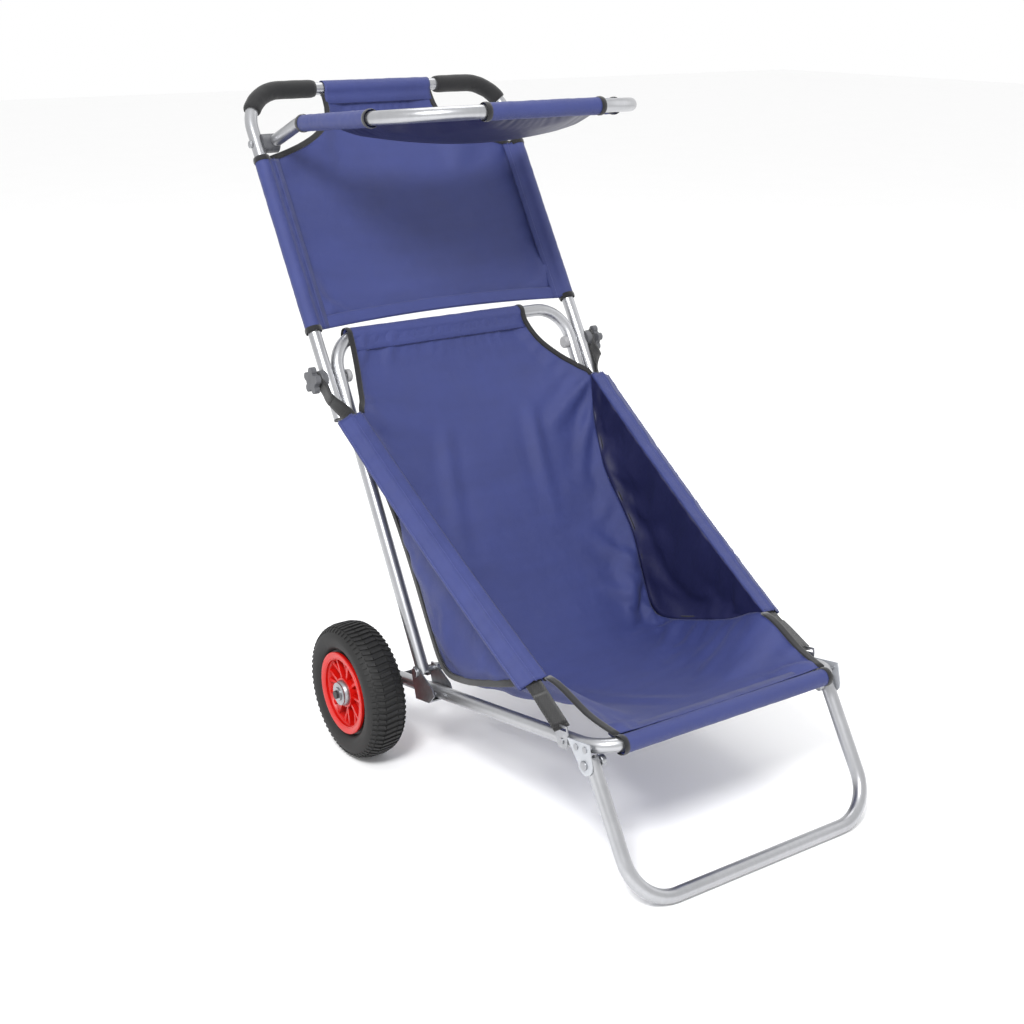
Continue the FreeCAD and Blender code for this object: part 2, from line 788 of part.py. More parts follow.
def canopy_cloth():
    """Sun cloth with a tunnel on each arm and on the front bar, open at the corners."""
    arm_length = (canopy_front - canopy_knee).Length
    rear = canopy_knee + canopy_arm_run * 14
    arm_end = canopy_knee + canopy_arm_run * (arm_length - canopy_corner_radius)
    edge = tube_r + soft_gap + cloth / 2
    half = canopy_half_width - edge
    bar_half = canopy_half_width - canopy_corner_radius
    front = canopy_front - canopy_arm_run * edge
    under = canopy_up * (-cloth / 2)
    right = [at_x(rear, half), at_x(arm_end, half), at_x(front, bar_half)]
    left = [at_x(point, -point.x) for point in reversed(right)]
    sheet = prism([point + under for point in right + left], canopy_up * cloth)
    pieces = [sleeve_on(at_x(canopy_front, -bar_half), at_x(canopy_front, bar_half))]
    for x in (-canopy_half_width, canopy_half_width):
        pieces.append(sleeve_on(at_x(rear, x), at_x(arm_end, x)))
    return sheet.fuse(pieces).removeSplitter()


# ---- knobs ---------------------------------------------------------------------------------
def star_knob():
    """Five-lobed plastic knob, open inside for its threaded insert."""
    end = knob_inner + knob_thickness
    body = cylinder_x(pivot, knob_inner + 3, end, knob_radius - 7)
    body = body.fuse(cylinder_x(pivot, knob_inner, end, insert_radius + 3))
    for lobe in range(lobe_count):
        angle = 2 * math.pi * lobe / lobe_count
        spoke = Vector(0, math.sin(angle), math.cos(angle)) * (knob_radius - 6)
        body = body.fuse(cylinder_x(pivot + spoke, knob_inner + 3, end, 6))
    socket = cylinder_x(pivot, knob_inner, end - 3, insert_radius)
    return body.removeSplitter().cut(socket)


def knob_insert():
    end = knob_inner + knob_thickness - 3
    return ring_x(pivot, knob_inner, end, insert_radius, pivot_bolt_radius + running)


# ---- wheels --------------------------------------------------------------------------------
def tyre_outline(inset):
    """Cross-section as (x, radius) pairs: straight beads under a full, squarish crown."""
    crown_centre = (wheel_radius + rim_radius) / 2
    half_width = tyre_width / 2 - inset
    half_height = wheel_radius - crown_centre - inset
    bead = bead_half - 0.2 - inset
    foot = rim_barrel_radius + rim_wall
    points = [(bead, foot), (bead, rim_radius + 1)]
    steps = 20
    for step in range(steps + 1):
        angle = math.radians(-44 + (180 + 88) * step / steps)
        across = math.copysign(abs(math.cos(angle)) ** 0.75, math.cos(angle))
        upward = math.copysign(abs(math.sin(angle)) ** 0.85, math.sin(angle))
        points.append((across * half_width, crown_centre + upward * half_height))
    points += [(-bead, rim_radius + 1), (-bead, foot)]
    return points


def tyre():
    return revolved(tyre_outline(0), wheel_x).cut(revolved(tyre_outline(tyre_wall), wheel_x))


def inner_tube():
    """Thin air tube inside the tyre."""
    outside = revolved(tyre_outline(tyre_wall + 0.3), wheel_x)
    inside = revolved(tyre_outline(tyre_wall + 0.3 + tube_skin), wheel_x)
    barrel = cylinder_x(
        axle_centre, wheel_x - bead_half, wheel_x + bead_half,
        rim_barrel_radius + rim_wall + 0.3)
    liner = cylinder_x(
        axle_centre, wheel_x - bead_half, wheel_x + bead_half,
        rim_barrel_radius + rim_wall + 0.3 + tube_skin)
    return outside.cut(barrel).cut(inside.cut(liner))


def rim():
    """Moulded wheel centre: barrel, two flanges, a web with ribs, and a hub boss."""
    barrel = ring_x(
        axle_centre, wheel_x - bead_half, wheel_x + bead_half,
        rim_barrel_radius + rim_wall, rim_barrel_radius)
    flanges = []
    for side in (-1, 1):
        start = wheel_x + side * bead_half
        flanges.append(ring_x(
            axle_centre, start, start + side * rim_wall, rim_radius, rim_barrel_radius))
    web = ring_x(
        axle_centre, wheel_x - rim_web / 2, wheel_x + rim_web / 2,
        rim_barrel_radius + 1, hub_radius)
    boss = ring_x(
        axle_centre, wheel_x - bead_half, wheel_x + bead_half, hub_radius + 5, hub_radius)
    ribs = []
    for rib in range(rim_rib_count):
        bar = Part.makeBox(
            rim_width - 6, 4, rim_barrel_radius + 1 - hub_radius - 2,
            Vector(wheel_x - bead_half + 3, -2, axle_z + hub_radius + 2))
        bar.rotate(axle_centre, x_axis, rim_rib_turn_deg + 360 * rib / rim_rib_count)
        ribs.append(bar)
    body = barrel.fuse(flanges + [web, boss] + ribs).removeSplitter()
    return body.cut(valve_hole())


def valve_hole():
    start = axle_centre + Vector(wheel_x + 12, rim_barrel_radius - 4, 0)
    return Part.makeCylinder(valve_radius, rim_wall + 8, start, Vector(0, 1, 0))


def valve():
    """Air valve that stands inwards from the barrel towards the hub."""
    start = axle_centre + Vector(wheel_x + 12, hub_radius + 10, 0)
    length = rim_barrel_radius + rim_wall - hub_radius - 10
    stem = Part.makeCylinder(valve_radius, length, start, Vector(0, 1, 0))
    cap = Part.makeCylinder(valve_radius + 0.8, 9, start, Vector(0, 1, 0))
    return stem.fuse(cap).removeSplitter()


def hub():
    """Zinc-plated sleeve in the boss, flanged outside, with a seat for each bearing."""
    body = cylinder_x(axle_centre, wheel_x - hub_half, wheel_x + hub_half, hub_radius)
    bore = cylinder_x(axle_centre, wheel_x - hub_half, wheel_x + hub_half, axle_radius + 3)
    seats = []
    for side in (-1, 1):
        end = wheel_x + side * hub_half
        seats.append(cylinder_x(
            axle_centre, end - side * (bearing_width + 2), end, bearing_radius))
    return body.cut(bore.fuse(seats))


def bearings():
    pieces = []
    for side in (-1, 1):
        end = wheel_x + side * (hub_half - 2)
        pieces.append(ring_x(
            axle_centre, end, end - side * bearing_width, bearing_radius,
            axle_radius + running))
    return Part.makeCompound(pieces)


# ---- assembly ------------------------------------------------------------------------------
nodes["base_tube"] = base_tube()
nodes["base_plugs"] = base_plugs()
nodes["axle"] = axle()
nodes["axle_spacers"] = axle_spacers()
nodes["axle_clips"] = axle_clips()
add_pair("hinge_bracket", hinge_bracket())
nodes["bracket_rivets"] = bracket_rivets()
nodes["hinge_bolts"] = hinge_bolts()
nodes["hinge_nuts"] = hinge_nuts()
add_pair("leg_plate", leg_plate())
nodes["plate_rivets"] = plate_rivets()
nodes["leg_bolts"] = leg_bolts()
nodes["leg_nuts"] = leg_nuts()
add_pair("strap_hook", strap_hook())
nodes["hook_rivets"] = hook_rivets()
nodes["seat_sling"] = seat_sling()
add_pair("strap", strap())
add_pair("side_panel", side_panel())
nodes["leg_tube"] = leg_tube()
nodes["back_tube"] = back_tube()
nodes["clamp_bolts"] = clamp_bolts()
add_pair("bolt_cap", bolt_cap())
nodes["back_sling"] = back_sling()
nodes["handle_tube"] = handle_tube()
nodes["handle_plugs"] = handle_plugs()
add_pair("grip", grip())
add_pair("saddle", saddle())
nodes["back_panel"] = back_panel()
add_pair("canopy_block", canopy_block())
nodes["canopy_bolts"] = canopy_bolts()
nodes["canopy_tube"] = canopy_tube()
add_pair("canopy_joint", canopy_joint())
nodes["canopy_cloth"] = canopy_cloth()
add_pair("star_knob", star_knob())
add_pair("knob_insert", knob_insert())
add_pair("tyre", tyre())
add_pair("inner_tube", inner_tube())
add_pair("rim", rim())
add_pair("valve", valve())
add_pair("hub", hub())
add_pair("bearings", bearings())

os.makedirs("parts", exist_ok=True)
for name, shape in nodes.items():
    shape.translate(to_origin)
    if not shape.isValid():
        print("not a valid shape:", name)
    shape.exportStep("parts/" + name + ".step")

print(len(nodes), "nodes, model moved by", round(to_origin.y, 3), "mm along Y")
for label, point in (
        ("axle", axle_centre), ("hinge", hinge), ("pivot", pivot), ("leg pivot", leg_pivot),
        ("canopy pivot", canopy_pivot)):
    moved = point + to_origin
    print(label, round(moved.y, 3), round(moved.z, 3))
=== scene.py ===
import json
import math

import bmesh
import bpy
from mathutils import Matrix, Vector, noise


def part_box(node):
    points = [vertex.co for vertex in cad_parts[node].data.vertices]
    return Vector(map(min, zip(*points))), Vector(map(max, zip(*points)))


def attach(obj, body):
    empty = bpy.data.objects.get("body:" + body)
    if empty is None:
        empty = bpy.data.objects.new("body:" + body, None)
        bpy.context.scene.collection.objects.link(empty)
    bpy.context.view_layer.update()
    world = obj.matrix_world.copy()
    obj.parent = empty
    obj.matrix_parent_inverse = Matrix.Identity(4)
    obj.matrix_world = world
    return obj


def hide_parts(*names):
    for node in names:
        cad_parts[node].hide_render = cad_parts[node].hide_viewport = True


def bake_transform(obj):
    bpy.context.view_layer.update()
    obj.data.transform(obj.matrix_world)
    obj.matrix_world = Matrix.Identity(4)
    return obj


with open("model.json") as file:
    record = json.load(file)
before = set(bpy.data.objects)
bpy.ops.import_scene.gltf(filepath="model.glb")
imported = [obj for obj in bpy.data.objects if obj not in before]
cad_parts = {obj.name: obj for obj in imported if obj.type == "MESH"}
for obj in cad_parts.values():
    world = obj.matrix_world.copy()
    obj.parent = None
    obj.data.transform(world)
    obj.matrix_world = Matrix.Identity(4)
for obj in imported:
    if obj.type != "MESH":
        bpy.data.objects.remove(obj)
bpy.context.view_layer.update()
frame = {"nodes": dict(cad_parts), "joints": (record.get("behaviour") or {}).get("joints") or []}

print("stage: frame loaded")

# Places that everything below is worked out from. Metres, +Y to the handle, +Z up.
jointAt = {joint["name"]: Vector(joint["pos_m"]) for joint in frame["joints"]}
hinge = jointAt["back_fold"]
pivot = jointAt["handle_fold"]
canopyPivot = jointAt["canopy_tilt"]
axleAt = Vector((0, jointAt["wheel_left_spin"].y, jointAt["wheel_left_spin"].z))
wheelX = abs(jointAt["wheel_left_spin"].x)

tubeR = 0.0095
baseLow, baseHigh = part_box("base_tube")
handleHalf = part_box("handle_tube")[1].x - tubeR
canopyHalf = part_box("canopy_tube")[1].x - tubeR
backLean = 29.5     # degrees from upright
handleLean = 32.0
backLength = 0.499
handleLength = 0.4565
wordOf = {1: "right", -1: "left"}


def sideway(degrees):
    # a direction in the side view, turned from straight up towards the handle
    turn = math.radians(degrees)
    return Vector((0, math.sin(turn), math.cos(turn)))


backRun = sideway(backLean)
backFront = sideway(backLean - 90)
handleRun = sideway(handleLean)
handleFront = sideway(handleLean - 90)
frontBar = Vector((0, baseLow.y + tubeR, baseHigh.z - tubeR))
topBar = hinge + backRun * backLength
handleBar = pivot + handleRun * handleLength


# node trees written as sums
class Wire:
    # a socket that can be added, multiplied and compared
    def __init__(self, maker, socket):
        self.maker = maker
        self.socket = socket

    def maths(self, operation, first, second=None):
        sockets = {0: first}
        if second is not None:
            sockets[1] = second
        return self.maker.node("ShaderNodeMath", {"operation": operation}, sockets)

    def __add__(self, other):
        return self.maths("ADD", self, other)

    def __radd__(self, other):
        return self.maths("ADD", other, self)

    def __sub__(self, other):
        return self.maths("SUBTRACT", self, other)

    def __rsub__(self, other):
        return self.maths("SUBTRACT", other, self)

    def __mul__(self, other):
        return self.maths("MULTIPLY", self, other)

    def __rmul__(self, other):
        return self.maths("MULTIPLY", other, self)

    def __truediv__(self, other):
        return self.maths("DIVIDE", self, other)

    def __rtruediv__(self, other):
        return self.maths("DIVIDE", other, self)

    def __pow__(self, other):
        return self.maths("POWER", self, other)

    def __gt__(self, other):
        return self.maths("GREATER_THAN", self, other)

    def sine(self):
        return self.maths("SINE", self)

    def size(self):
        return self.maths("ABSOLUTE", self)


class NodeMaker:
    def __init__(self, tree):
        self.tree = tree

    def node(self, kind, settings=None, sockets=None, out=0):
        made = self.tree.nodes.new(kind)
        for key, value in (settings or {}).items():
            setattr(made, key, value)
        for key, value in (sockets or {}).items():
            socket = made.inputs[key]
            if isinstance(value, Wire):
                self.tree.links.new(value.socket, socket)
            else:
                socket.default_value = value
        return Wire(self, made.outputs[out])

    def split(self, vector):
        # a vector's first two numbers
        first = self.node("ShaderNodeSeparateXYZ", None, {0: vector})
        return first, Wire(self, first.socket.node.outputs[1])


class Finish(NodeMaker):
    # one material, with its shader's constants and the few links that vary
    def __init__(self, name, **constants):
        self.material = bpy.data.materials.new(name)
        self.material.use_nodes = True
        super().__init__(self.material.node_tree)
        self.shader = self.tree.nodes["Principled BSDF"]
        for key, value in constants.items():
            self.shader.inputs[key.replace("_", " ")].default_value = value
        self.place = self.node("ShaderNodeTexCoord", out=3)

    def drive(self, socketName, wire):
        self.tree.links.new(wire.socket, self.shader.inputs[socketName])

    def noise(self, scale, detail=3.0, rough=0.55, vector=None):
        sockets = {"Vector": vector or self.place, "Scale": scale, "Detail": detail,
                   "Roughness": rough}
        return self.node("ShaderNodeTexNoise", None, sockets)

    def stretched(self, amounts):
        return self.node("ShaderNodeMapping", None, {"Vector": self.place, "Scale": amounts})

    def shades(self, mask, dark, light):
        return self.node("ShaderNodeMix", {"data_type": "RGBA"},
                         {"Factor": mask, "A": (*dark, 1), "B": (*light, 1)}, out=2)

    def relief(self, height, strength, distance):
        bump = self.node("ShaderNodeBump", None,
                         {"Height": height, "Strength": strength, "Distance": distance})
        self.drive("Normal", bump)


def rgb(red, green, blue):
    # screen values 0 to 255 as light
    return tuple((value / 255) ** 2.2 for value in (red, green, blue))


# finishes
clothLook = {"dark": rgb(32, 40, 84), "light": rgb(54, 64, 124), "threads": 1500.0}


def navyCloth():
    make = Finish("navy cloth", Sheen_Weight=0.08, Sheen_Roughness=0.4, Specular_IOR_Level=0.5)
    across, along = make.split(make.node("ShaderNodeUVMap", {"uv_map": "cut"}))
    warp = (across * (clothLook["threads"] * math.pi)).sine()
    weft = (along * (clothLook["threads"] * math.pi)).sine()
    weave = warp * weft * 0.5 + 0.5
    slub = make.noise(6.0, 4.0, 0.6, make.stretched((1.0, 9.0, 3.0)))
    wear = make.noise(14.0, 5.0, 0.6)
    mask = slub * 0.35 + wear * 0.4 + weave * 0.25
    make.drive("Base Color", make.shades(mask, clothLook["dark"], clothLook["light"]))
    make.drive("Roughness", 0.5 + wear * 0.16)
    creases = make.noise(38.0, 4.0, 0.55)
    puckers = make.noise(11.0, 3.0, 0.5)
    make.relief(weave * 0.06 + creases * 0.22 + puckers * 1.2, 0.6, 0.006)
    return make.material


def plainFinish(name, cloud, grain, dark, light, rough, relief, **constants):
    # a broad pattern and a fine one; rough is a base and two weights, relief is two
    # weights, a strength and a distance
    make = Finish(name, **constants)
    patterns = (make.noise(*cloud), make.noise(*grain))

    def weighed(weights):
        parts = [wire * weight for wire, weight in zip(patterns, weights) if weight]
        return sum(parts[1:], parts[0])

    make.drive("Base Color", make.shades(patterns[0], dark, light))
    make.drive("Roughness", rough[0] + weighed(rough[1:]))
    make.relief(weighed(relief[:2]), relief[2], relief[3])
    return make.material


def mouldedPlastic(name, dark, light):
    return plainFinish(name, (60.0, 4.0, 0.6), (1400.0, 3.0, 0.6), dark, light,
                       (0.4, 0.14, 0.08), (0, 1, 0.22, 0.0003), Specular_IOR_Level=0.45)


def bindingTape():
    make = Finish("binding tape", Sheen_Weight=0.3, Specular_IOR_Level=0.35)
    ribs = (make.split(make.place)[1] * 5200.0).sine()
    fuzz = make.noise(120.0, 4.0)
    make.drive("Base Color", make.shades(fuzz, rgb(8, 8, 11), rgb(22, 22, 27)))
    make.drive("Roughness", 0.62 + fuzz * 0.2)
    make.relief(ribs * 0.3 + fuzz * 0.5, 0.4, 0.0006)
    return make.material


def blackWebbing():
    make = Finish("black webbing", Sheen_Weight=0.25, Specular_IOR_Level=0.4)
    across, along = make.split(make.node("ShaderNodeUVMap", {"uv_map": "cut"}))
    twill = ((across * 2600.0 + along * 1900.0).sine() * (along * 3400.0).sine()) * 0.5 + 0.5
    fuzz = make.noise(160.0, 4.0)
    make.drive("Base Color", make.shades(twill * 0.6 + fuzz * 0.4, rgb(7, 7, 8),
                                         rgb(34, 34, 36)))
    make.drive("Roughness", 0.58 + fuzz * 0.2)
    make.relief(twill, 0.8, 0.0012)
    return make.material


def silverTube():
    make = Finish("silver tube", Metallic=0.92, Specular_IOR_Level=0.5)
    drawn = make.noise(60.0, 4.0, 0.6, make.stretched((3.0, 1.0, 1.0)))
    cloud = make.noise(9.0, 4.0, 0.6)
    scuff = make.noise(420.0, 3.0, 0.7)
    make.drive("Base Color", make.shades(cloud * 0.6 + drawn * 0.4, rgb(148, 149, 152),
                                         rgb(190, 191, 194)))
    make.drive("Roughness", 0.24 + cloud * 0.16 + (scuff > 0.66) * 0.12)
    make.relief(drawn * 0.5 + scuff * 0.3, 0.08, 0.0004)
    return make.material


def zincPlate():
    make = Finish("zinc plate", Metallic=0.95)
    spangle = make.node("ShaderNodeTexVoronoi", None, {"Vector": make.place, "Scale": 240.0})
    cloud = make.noise(90.0, 4.0, 0.6)
    make.drive("Base Color", make.shades(cloud, rgb(126, 128, 132), rgb(182, 183, 186)))
    make.drive("Roughness", 0.26 + cloud * 0.2 + spangle * 0.08)
    make.relief(cloud * 0.5 + spangle * 0.4, 0.12, 0.0004)
    return make.material


def foamRubber():
    make = Finish("foam rubber", Specular_IOR_Level=0.35, Sheen_Weight=0.15)
    cells = make.node("ShaderNodeTexVoronoi", None, {"Vector": make.place, "Scale": 900.0})
    cloud = make.noise(45.0, 4.0, 0.6)
    make.drive("Base Color", make.shades(cloud * 0.6 + cells * 0.4, rgb(14, 14, 15),
                                         rgb(34, 34, 36)))
    make.drive("Roughness", 0.66 + cloud * 0.16)
    make.relief(cells, 0.5, 0.0006)
    return make.material


def brassTurned():
    make = Finish("turned brass", Metallic=1.0)
    rings = make.noise(500.0, 2.0, 0.5, make.stretched((6.0, 1.0, 1.0)))
    make.drive("Base Color", make.shades(rings, rgb(170, 138, 70), rgb(214, 182, 104)))
    make.drive("Roughness", 0.28 + rings * 0.15)
    make.relief(rings, 0.15, 0.0003)
    return make.material


finishes = {
    "cloth": navyCloth(),
    # a darker navy for cloth faces turned away from the light: painted shade
    "paintedShade": plainFinish("coated cloth", (10.0, 4.0, 0.6), (900.0, 2.0), rgb(20, 22, 50),
                           rgb(36, 38, 76), (0.36, 0.16, 0), (1.4, 0.02, 0.5, 0.004),
                           Specular_IOR_Level=0.6),
    "binding": bindingTape(),
    "webbing": blackWebbing(),
    "tube": silverTube(),
    "zinc": zincPlate(),
    "greyPaint": plainFinish("grey paint", (70.0, 4.0, 0.6), (900.0, 2.0), rgb(150, 153, 158),
                             rgb(182, 185, 190), (0.36, 0.14, 0), (0, 1, 0.12, 0.0003),
                             Metallic=0.25, Specular_IOR_Level=0.5),
    "blackPlastic": mouldedPlastic("black plastic", rgb(30, 30, 32), rgb(52, 52, 55)),
    "greyPlastic": mouldedPlastic("grey plastic", rgb(62, 63, 66), rgb(98, 99, 103)),
    "palePlastic": mouldedPlastic("pale grey plastic", rgb(128, 128, 130), rgb(158, 158, 160)),
    "foam": foamRubber(),
    "tyre": plainFinish("tyre rubber", (28.0, 5.0, 0.65), (700.0, 3.0, 0.6), rgb(16, 16, 17),
                        rgb(42, 42, 42), (0.55, 0.22, 0), (0.3, 0.4, 0.28, 0.0005),
                        Specular_IOR_Level=0.4),
    "red": plainFinish("red plastic", (36.0, 4.0, 0.6), (520.0, 2.0), rgb(166, 13, 8),
                       rgb(198, 24, 14), (0.3, 0.14, 0), (0, 1, 0.1, 0.0004),
                       Specular_IOR_Level=0.5, Coat_Roughness=0.25),
    "brass": brassTurned(),
    "thread": plainFinish("sewing thread", (900.0, 2.0), (900.0, 2.0), rgb(44, 50, 98),
                          rgb(78, 86, 146), (0.55, 0.2, 0), (1, 0, 0.3, 0.0002),
                          Sheen_Weight=0.2),
}
print("stage: finishes made")


# shapes
def smoothLine(points, steps):
    # a smooth curve through the points, with steps pieces for each gap
    line = []
    last = len(points) - 1
    for index in range(last):
        before = points[max(index - 1, 0)]
        start = points[index]
        end = points[index + 1]
        after = points[min(index + 2, last)]
        for step in range(steps):
            t = step / steps
            line.append(0.5 * (
                2 * start + (end - before) * t
                + (2 * before - 5 * start + 4 * end - after) * t * t
                + (3 * start - before - 3 * end + after) * t ** 3))
    line.append(points[-1])
    return line


def evenLine(points, count):
    # the same line with count points at equal spacing
    lengths = [0.0]
    for first, second in zip(points, points[1:]):
        lengths.append(lengths[-1] + (second - first).length)
    spaced = []
    at = 0
    for index in range(count):
        wanted = lengths[-1] * index / (count - 1)
        while at < len(points) - 2 and lengths[at + 1] < wanted:
            at += 1
        gap = lengths[at + 1] - lengths[at]
        share = (wanted - lengths[at]) / gap if gap else 0.0
        spaced.append(points[at].lerp(points[at + 1], min(max(share, 0.0), 1.0)))
    return spaced


def linked(name, data):
    # a new object in the scene
    piece = bpy.data.objects.new(name, data)
    bpy.context.scene.collection.objects.link(piece)
    return piece


def meshPiece(name, points, faces, look, edges=()):
    mesh = bpy.data.meshes.new(name)
    mesh.from_pydata([tuple(point) for point in points], edges, faces)
    mesh.update()
    piece = linked(name, mesh)
    mesh.materials.append(finishes[look])
    mesh.shade_smooth()
    return piece


def shapePiece(name, shape):
    # a finished bmesh as an object, with its faces turned outwards
    bmesh.ops.recalc_face_normals(shape, faces=shape.faces)
    mesh = bpy.data.meshes.new(name)
    shape.to_mesh(mesh)
    shape.free()
    return linked(name, mesh)


def gridPiece(name, rows, look, closed=False):
    # rows of points as a sheet, with a UV map in metres of cloth
    across = len(rows[0])
    points = [point for row in rows for point in row]
    faces = []
    wrap = across if closed else across - 1
    for down in range(len(rows) - 1):
        for side in range(wrap):
            right = (side + 1) % across
            faces.append((down * across + side, down * across + right,
                          (down + 1) * across + right, (down + 1) * across + side))
    piece = meshPiece(name, points, faces, look)
    middle = across // 2
    alongAt = [0.0]
    for first, second in zip(rows, rows[1:]):
        alongAt.append(alongAt[-1] + (second[middle] - first[middle]).length)
    acrossAt = []
    for row in rows:
        run = [0.0]
        ends = list(zip(row, row[1:])) + ([(row[-1], row[0])] if closed else [])
        for first, second in ends:
            run.append(run[-1] + (second - first).length)
        centre = run[middle]
        acrossAt.append([far - centre for far in run])
    layer = piece.data.uv_layers.new(name="cut")
    for face in piece.data.polygons:
        for loopIndex, corner in zip(face.loop_indices, range(4)):
            down = face.index // wrap + (corner > 1)
            side = face.index % wrap + (corner in (1, 2))
            layer.data[loopIndex].uv = (acrossAt[down][side], alongAt[down])
    return piece


def sweptPiece(name, path, look, outline, facing, capped=True):
    # an outline of (across, out) offsets carried along a path; facing gives the out direction
    rows = []
    for index, point in enumerate(path):
        ahead = path[min(index + 1, len(path) - 1)]
        behind = path[max(index - 1, 0)]
        run = (ahead - behind).normalized()
        out = facing(index) if callable(facing) else facing
        out = (out - run * out.dot(run)).normalized()
        across = run.cross(out)
        rows.append([point + across * a + out * b for a, b in outline(index)])
    piece = gridPiece(name, rows, look, closed=True)
    if capped:
        capEnds(piece, len(rows[0]), len(rows))
    return piece


def capEnds(piece, around, rowCount):
    shape = bmesh.new()
    shape.from_mesh(piece.data)
    shape.verts.ensure_lookup_table()
    first = [shape.verts[index] for index in range(around)]
    last = [shape.verts[(rowCount - 1) * around + index] for index in range(around)]
    shape.faces.new(list(reversed(first)))
    shape.faces.new(last)
    bmesh.ops.recalc_face_normals(shape, faces=shape.faces)
    shape.to_mesh(piece.data)
    shape.free()


def stripOutline(width, thickness):
    # a flat strap's section with rounded edges
    half = width / 2
    deep = thickness / 2
    ring = [(-half, 0), (-half + deep * 0.6, deep), (-half * 0.5, deep * 1.05), (0, deep * 1.08),
            (half * 0.5, deep * 1.05), (half - deep * 0.6, deep), (half, 0),
            (half - deep * 0.6, -deep), (0, -deep), (-half + deep * 0.6, -deep)]
    return lambda index: ring


def turnedPiece(name, profile, centre, look, steps=72, side=1):
    # a profile of (x, radius) pairs turned about the axle's direction
    rows = []
    for x, radius in profile:
        ring = []
        for step in range(steps):
            angle = 2 * math.pi * step / steps
            ring.append(centre + Vector((x * side, radius * math.cos(angle),
                                         radius * math.sin(angle))))
        rows.append(ring)
    piece = gridPiece(name, rows, look, closed=True)
    shape = bmesh.new()
    shape.from_mesh(piece.data)
    bmesh.ops.remove_doubles(shape, verts=shape.verts, dist=1e-6)
    bmesh.ops.recalc_face_normals(shape, faces=shape.faces)
    shape.to_mesh(piece.data)
    shape.free()
    return piece


def flatten(piece):
    # the finished look of a piece as a plain mesh, with no modifiers left
    bpy.context.view_layer.update()
    graph = bpy.context.evaluated_depsgraph_get()
    solid = bpy.data.meshes.new_from_object(piece.evaluated_get(graph))
    piece.modifiers.clear()
    piece.data = solid
    return piece


def place(piece, body, replaced=()):
    # body is None for cloth and webbing that reach from the base frame to the back frame
    if body:
        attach(piece, body)
    else:
        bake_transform(piece)
    if replaced:
        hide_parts(*replaced)
    return piece


def bendWithBack(piece, replaced=()):
    return place(piece, None, replaced)


# trees that repeat a shape
def newTree(name, numbers):
    tree = bpy.data.node_groups.new(name, "GeometryNodeTree")
    tree.interface.new_socket("Geometry", in_out="INPUT", socket_type="NodeSocketGeometry")
    for label, (kind, value) in numbers.items():
        socket = tree.interface.new_socket(label, in_out="INPUT", socket_type="NodeSocket" + kind)
        socket.default_value = value
    tree.interface.new_socket("Geometry", in_out="OUTPUT", socket_type="NodeSocketGeometry")
    make = NodeMaker(tree)
    entry = tree.nodes.new("NodeGroupInput")
    given = {socket.name: Wire(make, socket) for socket in entry.outputs if socket.name}
    return make, given


def endTree(make, geometry, look):
    solid = make.node("GeometryNodeRealizeInstances", None, {0: geometry})
    dressed = make.node("GeometryNodeSetMaterial", None, {"Geometry": solid})
    dressed.socket.node.inputs["Material"].default_value = finishes[look]
    outlet = make.tree.nodes.new("NodeGroupOutput")
    make.tree.links.new(dressed.socket, outlet.inputs[0])
    return make.tree


def grown(piece, tree, values, look):
    # runs a tree on a piece and keeps the result as its plain mesh
    change = piece.modifiers.new(tree.name, "NODES")
    change.node_group = tree
    for item in tree.interface.items_tree:
        if item.in_out == "INPUT" and item.name in values:
            change[item.identifier] = values[item.name]
    flatten(piece)
    piece.data.materials.clear()
    piece.data.materials.append(finishes[look])
    return piece


def stitchTree():
    make, given = newTree("stitches along a seam", {
        "Spacing": ("Float", 0.004), "Length": ("Float", 0.0028), "Thickness": ("Float", 0.0004)})
    curve = make.node("GeometryNodeMeshToCurve", None, {"Mesh": given["Geometry"]})
    even = make.node("GeometryNodeResampleCurve", {"mode": "LENGTH"},
                     {"Curve": curve, "Length": given["Spacing"]})
    thread = make.node("GeometryNodeMeshCylinder", {"fill_type": "TRIANGLE_FAN"},
                       {"Vertices": 6, "Radius": given["Thickness"], "Depth": given["Length"]})
    run = make.node("GeometryNodeInputTangent")
    turn = make.node("FunctionNodeAlignRotationToVector", {"axis": "Z"}, {"Vector": run})
    many = make.node("GeometryNodeInstanceOnPoints", None,
                     {"Points": even, "Instance": thread, "Rotation": turn})
    return endTree(make, many, "thread")


def ringTree(look):
    make, given = newTree("repeat round the axle", {
        "Count": ("Int", 60), "Centre": ("Vector", (0, 0, 0))})
    line = make.node("GeometryNodeMeshLine", None, {"Count": given["Count"], "Offset": (0, 0, 0)})
    points = make.node("GeometryNodeMeshToPoints", None, {"Mesh": line})
    index = make.node("GeometryNodeInputIndex")
    angle = index * (2 * math.pi) / given["Count"]
    turn = make.node("ShaderNodeCombineXYZ", None, {"X": angle})
    many = make.node("GeometryNodeInstanceOnPoints", None,
                     {"Points": points, "Instance": given["Geometry"], "Rotation": turn})
    moved = make.node("GeometryNodeTranslateInstances", {},
                      {"Instances": many, "Translation": given["Centre"], "Local Space": False})
    return endTree(make, moved, look)


stitches = stitchTree()


def stitchLine(name, line, lift, spacing=0.0042, length=0.003):
    # a row of thread dashes on a line, lifted by a vector off the cloth
    edges = [(index, index + 1) for index in range(len(line) - 1)]
    piece = meshPiece(name, [point + lift for point in line], [], "thread", edges)
    return grown(piece, stitches, {"Spacing": spacing, "Length": length, "Thickness": 0.00045},
                 "thread")


